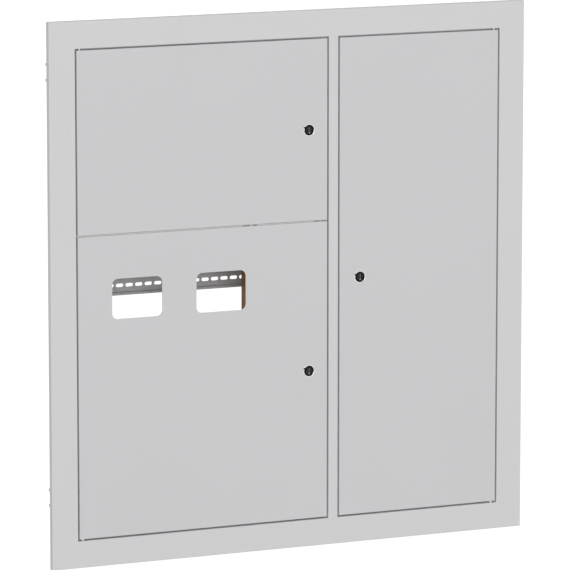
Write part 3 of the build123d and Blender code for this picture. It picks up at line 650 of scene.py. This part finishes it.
def dress_solids(node, name, shape_of, sharp=SHARP):
    """Replaces a CAD node by the shapes that a function makes from each solid's two corners."""
    shapes = [shape_of(low, high) for low, high in solid_boxes(node)]
    piece = make_piece(name, shapes, BODY_OF_NODE[node], SLOT_OF_NODE[node], sharp)
    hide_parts(node)


def screw(low, high, head):
    """Screw along Y with a recessed head and a threaded shank, in place of a bevelled one."""
    centre, sides = measured(low, high)
    seat = (centre[0], low[1] + HEAD_HEIGHT * MM, centre[2])
    shapes = [placed(head(sides[0] / 2.0, HEAD_HEIGHT), seat, OUT_OF_WALL)]
    length = (high[1] - seat[1]) / MM
    if length > SHORTEST_SHANK:
        shapes.append(placed(threaded_rod(length, **SHANK), seat, INTO_WALL))
    return joined(shapes)


def grommet(low, high):
    """Stepped membrane along X: a profile of rings that rise towards the middle."""
    columns, edge = 72, 0.4
    floor, neck, lip, low_step, high_step, crown = -0.4, 6.4, 5.2, 0.35, 0.75, 0.98
    centre, sides = measured(low, high)
    half, radius = sides[0] / 2.0, sides[2] / 2.0
    outward = 1.0 if centre[0] > 0 else -1.0
    profile = [
        (0.0, floor),
        (radius - neck, floor),
        (radius - 6.2, -half),
        (radius, -half),
        (radius, half * 0.8),
        (radius - 1.2, half),
        (radius - lip, half),
        (radius - 6.0, half * low_step),
        (radius - 9.0, half * low_step),
        (radius - 9.4, half * high_step),
        (radius - 12.4, half * high_step),
        (radius - 12.8, half * crown),
        (0.0, half * crown),
    ]
    shape = revolved(rounded_profile(profile, edge), columns)
    return placed(shape, centre, (outward, 0.0, 0.0))


def buffer(low, high):
    """Dome along Y: with t from 0 to 1, r = R sqrt(1 - t^2)^0.7 over a foot of 0.35 h."""
    rings, columns, foot, power = 14, 40, 0.35, 0.7
    centre, sides = measured(low, high)
    radius, height = sides[0] / 2.0, sides[1]
    rise = np.linspace(0.0, 1.0, rings)
    reach = radius * np.sqrt(1.0 - rise**2) ** power
    level = height * (foot + (1.0 - foot) * rise)
    base = [(0.0, 0.0), (radius, 0.0)]
    shape = revolved(np.concatenate([base, np.stack([reach, level], 1)]), columns)
    return placed(shape, (centre[0], high[1], centre[2]), OUT_OF_WALL)


def insulator(low, high):
    """Waisted standoff with ribs: r = R (0.78 + 0.22 sqrt(w)), w a raised cosine of z."""
    rings, columns, ribs, waist, swell = 72, 48, 3.0, 0.78, 0.22
    centre, sides = measured(low, high)
    radius, length = sides[0] / 2.0, sides[1]
    along = np.linspace(0.0, length, rings)
    wave = 0.5 + 0.5 * np.cos(2.0 * np.pi * along / length * ribs)
    side = np.stack([radius * (waist + swell * np.sqrt(wave)), along], 1)
    shape = revolved(np.concatenate([[(0.0, 0.0)], side, [(0.0, length)]]), columns)
    return placed(shape, (centre[0], low[1], centre[2]), INTO_WALL)


def place_of_lock(which):
    """Centre of a lock on its axis, at the front of its head, in metres."""
    low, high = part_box(which + "_lock_core")
    head_low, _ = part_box(which + "_lock_housing")
    return ((low[0] + high[0]) / 2.0, head_low[1], (low[2] + high[2]) / 2.0)


def lock_housing(sizes, length):
    """Lock housing from its front at z = 0 back to z = length.

    The head is a bevelled disc of radius R with a tab near ten o'clock: from where a straight
    edge leaves the rim at angle t the radius is R / cos(a - t), up to the tab's tip, and it falls
    evenly back to R beyond it. The tab grows over the outermost millimetre. The body behind is a
    threaded cylinder cut by two flats: r = min(thread radius, flats / 2 / |cos a|)."""
    head, body, bore, proud = sizes.head_radius, sizes.body_radius, sizes.bore_radius, sizes.proud
    recess, bore_bevel, bore_shoulder = 1.2, 0.35, 0.6
    bevel_width, bevel_depth, undercut, edge = 0.7, 0.6, 0.6, 0.25
    rings_per_pitch, thread_share, nearly_zero = 7.0, 0.5, 1e-6
    angles = ring_angles(180)
    front = rounded_profile(
        [
            (bore, recess),
            (bore, bore_bevel),
            (bore + bore_shoulder, 0.0),
            (head - bevel_width, 0.0),
            (head, bevel_depth),
            (head, proud),
            (body - undercut, proud),
        ],
        edge,
    )
    rear = resampled([(body, proud), (body, length)], sizes.thread_pitch / rings_per_pitch)
    inner = np.array([(bore, length), (bore, recess)])
    outline = np.concatenate([front, rear, inner])
    along = column(outline[:, 1])
    reach = np.broadcast_to(column(outline[:, 0]), (len(outline), len(angles))).copy()
    tip = math.radians(sizes.tab_angle)
    leaving = tip - math.acos(head / (head + sizes.tab_height))
    from_top = np.mod(np.pi / 2.0 - angles + np.pi, 2.0 * np.pi) - np.pi
    on_tab = (from_top > leaving) & (from_top < tip)
    swell = np.where(on_tab, head / np.cos(from_top - leaving) - head, 0.0)
    beyond = np.clip(1.0 - (from_top - tip) / math.radians(sizes.tab_fall), 0.0, 1.0)
    swell = np.where(from_top >= tip, sizes.tab_height * beyond, swell)
    near_rim = np.clip((outline[:, 0] - head + 1.0) / 0.9, 0.0, 1.0)
    on_rim = column(near_rim * (along[:, 0] < proud + 0.01))
    reach += swell * on_rim
    first, last = len(front), len(front) + len(rear)
    pitch = sizes.thread_pitch
    cut = thread_depth(along[first:last], angles, pitch, thread_share * pitch)
    flats = sizes.flats / 2.0 / np.maximum(np.abs(np.cos(angles)), nearly_zero)
    reach[first:last] = np.minimum(reach[first:last] - cut, flats)
    reach[first - 1] = np.minimum(reach[first - 1], flats)
    return turned(along, reach, angles, close_rows=True)


def core_cap(sizes):
    """Thin cap on the turning core with the key slot cut out.

    At each angle the slot's edge lies at s = min(w / |cos a|, h / |sin a|), w and h being half
    its sides, and the other radii divide the way from s to the cap's radius R evenly: r = s +
    t (R - s). The section runs round the cap with its two front edges rounded."""
    angles = ring_angles(180)
    nearly_zero = 1e-6
    half_width, half_height = sizes.slot_width / 2.0, sizes.slot_height / 2.0
    cosine = np.maximum(np.abs(np.cos(angles)), nearly_zero)
    sine = np.maximum(np.abs(np.sin(angles)), nearly_zero)
    slot = np.minimum(half_width / cosine, half_height / sine)
    front, rear = sizes.core_sunk - sizes.cap_thickness, sizes.core_sunk
    middle = (front + rear) / 2.0
    share = column([0.0, 0.0, 0.04, 0.5, 0.95, 1.0, 1.0])
    along = column([rear, middle, front, front, front, middle, rear])
    reach = slot + share * (sizes.cap_radius - slot)
    return turned(along, reach, angles, close_rows=True)


def key_shutter(sizes):
    """Rounded bar that closes the key slot: an ellipsoid-like block with exponent 6.

    With u and v over a sphere, x = w c(u) c(v), y = h c(u) s(v), z = d s(u), where c and s are
    the cosine and sine raised to the power 1/3 with their sign kept."""
    # The bar's lighter grey finish is a painted highlight that stands in for the lit inner wall of
    # the key slot
    rows, columns, power, gap, half_depth = 25, 64, 1.0 / 3.0, 0.1, 0.6
    u = column(np.linspace(-np.pi / 2.0, np.pi / 2.0, rows))
    v = ring_angles(columns)
    cos_u, sin_u = blunted(np.cos(u), power), blunted(np.sin(u), power)
    cos_u[0] = cos_u[-1] = 0.0
    x = (sizes.slot_width / 2.0 - gap) * cos_u * blunted(np.cos(v), power)
    y = (sizes.slot_height / 2.0 - gap) * cos_u * blunted(np.sin(v), power)
    z = np.broadcast_to(sizes.shutter_depth + half_depth * (1.0 + sin_u), x.shape)
    return np.stack((x, y, z), axis=-1).reshape(-1, 3), grid_faces(rows, columns)


def core_rivet(sizes):
    """Dot below the key slot: a low dome whose radius is that of a circle over its height."""
    rings, columns, dome_height, gap = 8, 32, 0.12, 0.35
    rise = np.linspace(0.0, 1.0, rings)
    radius = sizes.rivet_radius * np.sqrt(1.0 - rise**2)
    height = sizes.core_sunk - sizes.cap_thickness - dome_height * rise
    foot = [(0.0, sizes.core_sunk), (sizes.rivet_radius, sizes.core_sunk)]
    points, faces = revolved(np.concatenate([foot, np.stack([radius, height], 1)]), columns)
    return points - np.array([0.0, sizes.slot_height / 2.0 + gap, 0.0]), faces


def bezel(sizes):
    """Bright ring round the housing's head.

    Its section runs over a half turn, with the radius as the cosine and the height as the sine
    raised to the power 0.6."""
    rings, columns, overlap, power = 12, 120, 0.05, 0.6
    inner, outer, proud = sizes.head_radius - overlap, sizes.bezel_radius, sizes.bezel_height
    section = np.linspace(0.0, np.pi, rings)
    middle, half = (inner + outer) / 2.0, (outer - inner) / 2.0
    radius = middle + half * np.cos(section)
    along = sizes.proud - proud * np.sin(section) ** power
    return turned(column(along), column(radius), ring_angles(columns), close_rows=True)


def strip_along(path, width, thickness):
    """Flat strip along a path in X and Y, its width along Z, in millimetres.

    The section is a rounded rectangle: with a all round, z = w / 2 * c and the reach along the
    path's normal is t / 2 * s, where c and s are the cosine and sine raised to the power 1/4 with
    their sign kept. Both ends close on the path."""
    power = 0.25
    path = np.asarray(path, float)
    run = np.gradient(path, axis=0)
    run /= np.linalg.norm(run, axis=1, keepdims=True)
    normal = np.stack([-run[:, 1], run[:, 0]], axis=1)
    angles = ring_angles(32)
    across = thickness / 2.0 * blunted(np.sin(angles), power)
    level = width / 2.0 * blunted(np.cos(angles), power)
    sides = path[:, None, :] + normal[:, None, :] * across[None, :, None]
    levels = np.broadcast_to(level[None, :, None], (*sides.shape[:2], 1))
    rings = np.concatenate([sides, levels], axis=2)
    ends = np.concatenate([path[[0, -1]], [[0.0], [0.0]]], axis=1)[:, None, :]
    first = np.broadcast_to(ends[:1], (1, len(angles), 3))
    last = np.broadcast_to(ends[1:], (1, len(angles), 3))
    points = np.concatenate([first, rings, last]).reshape(-1, 3)
    return points, grid_faces(len(path) + 2, len(angles))


def wall_anchor(low, high):
    """Plate and two splayed prongs of one wall anchor."""
    sizes = bpy.context.scene.board_anchors
    plate_end, prong_start, bend_radius, bend_steps = 2.0, 2.2, 5.0, 8
    low, high = low / MM, high / MM
    side = 1.0 if low[0] > 0 else -1.0
    face = (low[0] if side > 0 else high[0]) + side * sizes.sheet / 2.0
    bend = high[1] - sizes.prong_length
    tip = face + side * sizes.splay
    middle = (low[2] + high[2]) / 2.0
    height = high[2] - low[2]
    plate = [(face, low[1]), (face, (low[1] + bend) / 2.0), (face, bend - plate_end)]
    corners = [(face, bend - prong_start), (face, bend), (tip, high[1] + sizes.reach)]
    prong = rounded_profile(corners, bend_radius, bend_steps)
    offset = (height - sizes.prong_width) / 2.0
    strips = (
        (plate, height, middle),
        (prong, sizes.prong_width, middle - offset),
        (prong, sizes.prong_width, middle + offset),
    )
    shapes = []
    for path, width, level in strips:
        points, faces = strip_along(path, width, sizes.sheet)
        shapes.append(((points + (0.0, 0.0, level)) * MM, faces))
    return joined(shapes)


# Settings


def colour_property(name, description, default):
    """A colour of one finish."""
    return FloatVectorProperty(
        name=name, description=description, subtype="COLOR", min=0.0, max=1.0, default=default
    )


def size_property(name, description, default):
    """A size in millimetres."""
    return FloatProperty(name=name, description=description + ", mm", min=0.0, default=default)


def level_property(name, description, default):
    """A strength without a unit."""
    return FloatProperty(name=name, description=description, min=0.0, default=default)


def distance_property(name, description, default):
    """A distance in metres."""
    return FloatProperty(name=name, description=description, unit="LENGTH", default=default)


def direction_property(name, description, default):
    """A direction in the frame."""
    return FloatVectorProperty(
        name=name, description=description, subtype="DIRECTION", size=3, default=default
    )


class BoardFinish(PropertyGroup):
    """Colours and textures of the board."""

    frame_colour: colour_property(
        "Frame paint", "Powder coat of the trim frame", (0.706, 0.706, 0.716)
    )
    # Set a little darker than the frame's grey
    door_colour: colour_property(
        "Door paint", "Powder coat of the three doors", (0.668, 0.668, 0.680)
    )
    body_colour: colour_property(
        "Body paint", "Powder coat of the walls, shelf and cover", (0.670, 0.670, 0.680)
    )
    zinc_colour: colour_property(
        "Galvanised steel", "Rails, uprights and strips", (0.47, 0.47, 0.475)
    )
    fastener_colour: colour_property(
        "Zinc plated fasteners", "Screws, studs and hinge pins", (0.60, 0.60, 0.59)
    )
    lock_metal_colour: colour_property(
        "Lock metal", "Cams, nuts and cores of the locks", (0.42, 0.42, 0.43)
    )
    nickel_colour: colour_property("Nickel", "Bright ring of the locks", (0.88, 0.88, 0.87))
    lock_colour: colour_property(
        "Lock housing", "Black housing of the locks", (0.006, 0.006, 0.0065)
    )
    cap_colour: colour_property("Core cap", "Cap on the turning cores", (0.018, 0.018, 0.019))
    # Partly painted highlight: the key shutter's grey, lighter than the housing, stands in for the
    # lit inner wall of the key slot
    shutter_painted_highlight_colour: colour_property("Key shutter", "Bar in the key slots", (0.07, 0.07, 0.072))
    laminate_colour: colour_property("Laminate", "Insulating partition", (0.27, 0.135, 0.065))
    brass_colour: colour_property("Brass", "Neutral and earth bars", (0.76, 0.55, 0.24))
    insulator_colour: colour_property("Insulators", "Standoffs of the bars", (0.24, 0.05, 0.035))
    rubber_colour: colour_property("Rubber", "Grommets and buffers", (0.018, 0.018, 0.018))
    paint_roughness: FloatProperty(
        name="Paint roughness",
        description="Roughness of the powder coat",
        min=0.0,
        max=1.0,
        default=0.48,
    )
    peel: FloatProperty(
        name="Orange peel",
        description="Strength of the powder coat's fine bumps",
        min=0.0,
        max=1.0,
        default=0.12,
    )


class LockSizes(PropertyGroup):
    """Sizes of the lock's visible pieces, in millimetres, and the angles of its tab."""

    head_radius: size_property("Head radius", "Front disc", 9.5)
    body_radius: size_property("Body radius", "Threaded body", 8.0)
    bore_radius: size_property("Bore radius", "Room for the core", 6.05)
    proud: size_property("Proud", "Head above the door", 2.5)
    flats: size_property("Flats", "Body across flats", 13.5)
    thread_pitch: size_property("Thread pitch", "Thread of the body", 1.25)
    tab_angle: FloatProperty(name="Tab angle", description="From upright, degrees", default=66.0)
    tab_height: size_property("Tab height", "Beyond the rim", 2.6)
    tab_fall: FloatProperty(name="Tab fall", description="Past its tip, degrees", default=10.0)
    slot_width: size_property("Slot width", "Key slot", 2.8)
    slot_height: size_property("Slot height", "Key slot", 8.9)
    core_sunk: size_property("Core sunk", "Core below the head", 0.5)
    cap_radius: size_property("Cap radius", "Black cap", 5.9)
    cap_thickness: size_property("Cap thickness", "Black cap", 0.35)
    shutter_depth: size_property("Shutter depth", "Below the head's front", 0.25)
    rivet_radius: size_property("Rivet radius", "Dot below the slot", 1.0)
    bezel_radius: size_property("Bezel radius", "Bright ring", 11.0)
    bezel_height: size_property("Bezel height", "Bright ring", 1.5)


class AnchorSizes(PropertyGroup):
    """Sizes of the wall anchors, in millimetres."""

    sheet: size_property("Sheet", "Thickness of the strap", 2.0)
    prong_length: size_property("Prong length", "Along the depth", 21.0)
    prong_width: size_property("Prong width", "Each prong", 5.0)
    splay: size_property("Splay", "How far the tips stand out", 8.8)
    reach: size_property("Reach", "Prongs behind the strap", 10.5)


class StageSettings(PropertyGroup):
    """Lamps, floor and camera."""

    surround_level: level_property("Surround level", "Light from all sides", 0.48)
    front_level: level_property("Front level", "Strength of the wide lamp in front", 1.84)
    front_spread: FloatProperty(
        name="Front spread",
        description="Angle across the wide lamp in front",
        subtype="ANGLE",
        default=math.radians(40.0),
    )
    front_direction: direction_property(
        "Front direction", "Where the wide lamp shines", (0.28, 0.94, -0.06)
    )
    floor_glow: level_property("Floor glow", "What the camera sees beside the light", 0.6)
    floor_drop: distance_property("Floor drop", "Floor below the board's middle", 1.35)
    floor_half: distance_property("Floor half", "Half of the floor's side", 30.0)
    lens: size_property("Lens", "Focal length", 302.6)
    camera_place: FloatVectorProperty(
        name="Camera place",
        description="Where the camera stands",
        subtype="XYZ",
        unit="LENGTH",
        size=3,
        default=(-3.5627, -8.0709, 1.4203),
    )
    camera_look: direction_property(
        "Camera direction", "Where the camera looks", (0.403124, 0.900716, -0.161854)
    )


# Operators


class BOARD_OT_coat_nodes(Operator):
    """Give every CAD piece the finish of its material slot"""

    bl_idname = "board.coat_nodes"
    bl_label = "Coat all pieces"

    def execute(self, context):
        for name, node in NODES.items():
            node.data.materials.clear()
            node.data.materials.append(material_for(SLOT_OF_NODE[name]))
        return {"FINISHED"}


class BOARD_OT_dress_locks(Operator):
    """Make the lock housings with their threads, and the core faces with their key slots"""

    bl_idname = "board.dress_locks"
    bl_label = "Dress the locks"

    def execute(self, context):
        sizes = context.scene.board_locks
        for which in LOCKS:
            node = which + "_lock_housing"
            body, slot = BODY_OF_NODE[node], SLOT_OF_NODE[node]
            low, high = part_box(node)
            place = place_of_lock(which)
            shape = placed(lock_housing(sizes, (high[1] - low[1]) / MM), place, INTO_WALL)
            piece = make_piece(node + "_detailed", [shape], body, slot, SHARP_HOUSING)
            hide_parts(node)
            self.dress_front(which, place, sizes)
        return {"FINISHED"}

    def dress_front(self, which, place, sizes):
        """Cap, shutter and rivet that turn with the core, and the ring that stays on the door."""
        core, door = BODY_OF_NODE[which + "_lock_core"], BODY_OF_NODE[which + "_lock_housing"]
        fronts = (
            ("_core_cap", core_cap, core, "lock_black", SHARP, "core_cap"),
            # The shutter bar's lighter grey is a painted highlight for the key slot's lit inner
            # wall
            ("_key_shutter", key_shutter, core, "lock_black", SHARP_SMALL, "key_shutter"),
            ("_core_rivet", core_rivet, core, "lock_metal", SHARP_SMALL, None),
            ("_lock_bezel", bezel, door, "lock_metal", SHARP_SMALL, "bright_nickel"),
        )
        for suffix, maker, body, slot, sharp, finish in fronts:
            shape = placed(maker(sizes), place, INTO_WALL)
            make_piece(which + suffix, [shape], body, slot, sharp, finish)


class BOARD_OT_dress_anchors(Operator):
    """Make the wall anchors with their splayed prongs"""

    bl_idname = "board.dress_anchors"
    bl_label = "Dress the wall anchors"

    def execute(self, context):
        dress_solids("wall_anchors", "wall_anchors_splayed", wall_anchor)
        return {"FINISHED"}


class BOARD_OT_dress_screws(Operator):
    """Make the recessed heads and threads of the screws"""

    bl_idname = "board.dress_screws"
    bl_label = "Dress the screws"

    def execute(self, context):
        heads = {"rail_screws": cross_head, "cover_screws": cross_head, "bar_screws": slot_head}
        for node, head in heads.items():
            dress_solids(node, node + "_detailed", partial(screw, head=head))
        return {"FINISHED"}


class BOARD_OT_dress_studs(Operator):
    """Make the earth studs with their threads, washers and nuts"""

    bl_idname = "board.dress_studs"
    bl_label = "Dress the earth studs"

    def execute(self, context):
        for which in LOCKS:
            node = which + "_door_earth_stud"
            self.dress(node, 1, INTO_WALL)
        self.dress("body_earth_stud", 0, TO_THE_RIGHT)
        return {"FINISHED"}

    def dress(self, node, axis, direction):
        """One stud that replaces its CAD node, from the low end of the box along its axis."""
        low, high = (np.array(corner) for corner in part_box(node))
        seat, sides = measured(low, high)
        seat[axis] = low[axis]
        pieces = stud_with_nut(sides[axis], **EARTH_STUD)
        shapes = [placed(shape, seat, direction) for shape in pieces]
        piece = make_piece(node + "_threaded", shapes, BODY_OF_NODE[node], SLOT_OF_NODE[node])
        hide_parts(node)


class BOARD_OT_dress_rubber(Operator):
    """Make the stepped cable grommets, the domed buffers and the ribbed insulators"""

    bl_idname = "board.dress_rubber"
    bl_label = "Dress grommets, buffers and insulators"

    def execute(self, context):
        dress_solids("cable_grommets", "cable_grommets_stepped", grommet, SHARP_MOULDED)
        dress_solids("door_buffers", "door_buffers_domed", buffer, SHARP_MOULDED)
        dress_solids("bar_insulators", "bar_insulators_ribbed", insulator, SHARP_MOULDED)
        return {"FINISHED"}


class BOARD_OT_set_stage(Operator):
    """Make the floor, the surround, the lamps and the camera"""

    bl_idname = "board.set_stage"
    bl_label = "Set the stage"

    def execute(self, context):
        scene = context.scene
        stage = scene.board_stage
        self.surround(scene, stage)
        self.floor(scene, stage)
        self.lamp(scene, stage)
        self.camera(scene, stage)
        scene.view_settings.view_transform = "Standard"
        return {"FINISHED"}

    def surround(self, scene, stage):
        """White to the camera and in reflections, at a plain level as light."""
        world = bpy.data.worlds.new("surround")
        world.use_nodes = True
        tree = world.node_tree
        light = tree.nodes["Background"]
        shown = tree.nodes.new("ShaderNodeBackground")
        for background, level in ((light, stage.surround_level), (shown, 1.0)):
            feed(tree, background.inputs["Color"], (1.0, 1.0, 1.0, 1.0))
            feed(tree, background.inputs["Strength"], level)
        mix = tree.nodes.new("ShaderNodeMixShader")
        feed(tree, mix.inputs["Fac"], self.seen(tree))
        feed(tree, mix.inputs[1], light.outputs["Background"])
        feed(tree, mix.inputs[2], shown.outputs["Background"])
        feed(tree, tree.nodes["World Output"].inputs["Surface"], mix.outputs["Shader"])
        scene.world = world

    def seen(self, tree):
        """1 for camera, glossy and transmitted rays, 0 for the rest."""
        path = tree.nodes.new("ShaderNodeLightPath").outputs
        first = math_node(tree, "MAXIMUM", path["Is Camera Ray"], path["Is Glossy Ray"])
        return math_node(tree, "MAXIMUM", first, path["Is Transmission Ray"])

    def floor(self, scene, stage):
        """Wide white floor that keeps the board's soft shadow."""
        corners = np.array([(-1, -1, 0), (1, -1, 0), (1, 1, 0), (-1, 1, 0)], float)
        corners *= stage.floor_half
        corners[:, 2] = -stage.floor_drop
        mesh = bpy.data.meshes.new("floor")
        mesh.from_pydata(corners.tolist(), [], [(0, 1, 2, 3)])
        floor = bpy.data.objects.new("floor", mesh)
        scene.collection.objects.link(floor)
        material = bpy.data.materials.new("floor_white")
        material.use_nodes = True
        tree = material.node_tree
        tree.nodes.remove(tree.nodes["Principled BSDF"])
        matte = tree.nodes.new("ShaderNodeBsdfDiffuse")
        feed(tree, matte.inputs["Color"], (0.9, 0.9, 0.9, 1.0))
        glow = tree.nodes.new("ShaderNodeEmission")
        shown = math_node(tree, "MULTIPLY", self.seen(tree), stage.floor_glow)
        feed(tree, glow.inputs["Strength"], shown)
        add = tree.nodes.new("ShaderNodeAddShader")
        feed(tree, add.inputs[0], matte.outputs["BSDF"])
        feed(tree, add.inputs[1], glow.outputs["Emission"])
        feed(tree, tree.nodes["Material Output"].inputs["Surface"], add.outputs["Shader"])
        mesh.materials.append(material)

    def lamp(self, scene, stage):
        """One wide, distant lamp that lifts the front."""
        light = bpy.data.lights.new("front_lamp", "SUN")
        light.angle = stage.front_spread
        light.energy = stage.front_level
        self.aimed(scene, "front_lamp", light, stage.front_direction)

    def camera(self, scene, stage):
        """A long lens at the photograph's viewing angle."""
        data = bpy.data.cameras.new("camera")
        data.lens = stage.lens
        data.sensor_width = 36.0
        data.clip_start = 0.1
        data.clip_end = 100.0
        scene.camera = self.aimed(scene, "camera", data, stage.camera_look)
        scene.camera.location = stage.camera_place

    def aimed(self, scene, name, data, direction):
        """A lamp or camera that looks along a direction."""
        thing = bpy.data.objects.new(name, data)
        scene.collection.objects.link(thing)
        thing.rotation_mode = "QUATERNION"
        thing.rotation_quaternion = Vector(direction).to_track_quat("-Z", "Y")
        return thing


class BOARD_PT_sidebar(Panel):
    """Lists the board's operators and settings"""

    bl_idname = "BOARD_PT_sidebar"
    bl_label = "Distribution board"
    bl_space_type = "VIEW_3D"
    bl_region_type = "UI"
    bl_category = "Board"

    def draw(self, context):
        layout = self.layout
        for operator in OPERATORS:
            layout.operator(operator.bl_idname)
        for name in SETTINGS:
            group = getattr(context.scene, name)
            box = layout.box()
            for label in group.bl_rna.properties.keys():
                if label not in ("rna_type", "name"):
                    box.prop(group, label)


OPERATORS = (
    BOARD_OT_coat_nodes,
    BOARD_OT_dress_locks,
    BOARD_OT_dress_anchors,
    BOARD_OT_dress_screws,
    BOARD_OT_dress_studs,
    BOARD_OT_dress_rubber,
    BOARD_OT_set_stage,
)
SETTINGS = {
    "board_finish": BoardFinish,
    "board_locks": LockSizes,
    "board_anchors": AnchorSizes,
    "board_stage": StageSettings,
}
CLASSES = (*SETTINGS.values(), *OPERATORS, BOARD_PT_sidebar)


def register():
    for cls in CLASSES:
        bpy.utils.register_class(cls)
    for name, cls in SETTINGS.items():
        setattr(bpy.types.Scene, name, PointerProperty(type=cls))


def unregister():
    for name in SETTINGS:
        delattr(bpy.types.Scene, name)
    for cls in reversed(CLASSES):
        bpy.utils.unregister_class(cls)


def main():
    """Registers the classes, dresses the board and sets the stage."""
    register()
    bpy.ops.board.coat_nodes()
    bpy.ops.board.dress_locks()
    bpy.ops.board.dress_anchors()
    bpy.ops.board.dress_screws()
    bpy.ops.board.dress_studs()
    bpy.ops.board.dress_rubber()
    bpy.ops.board.set_stage()


if __name__ == "__main__":
    main()
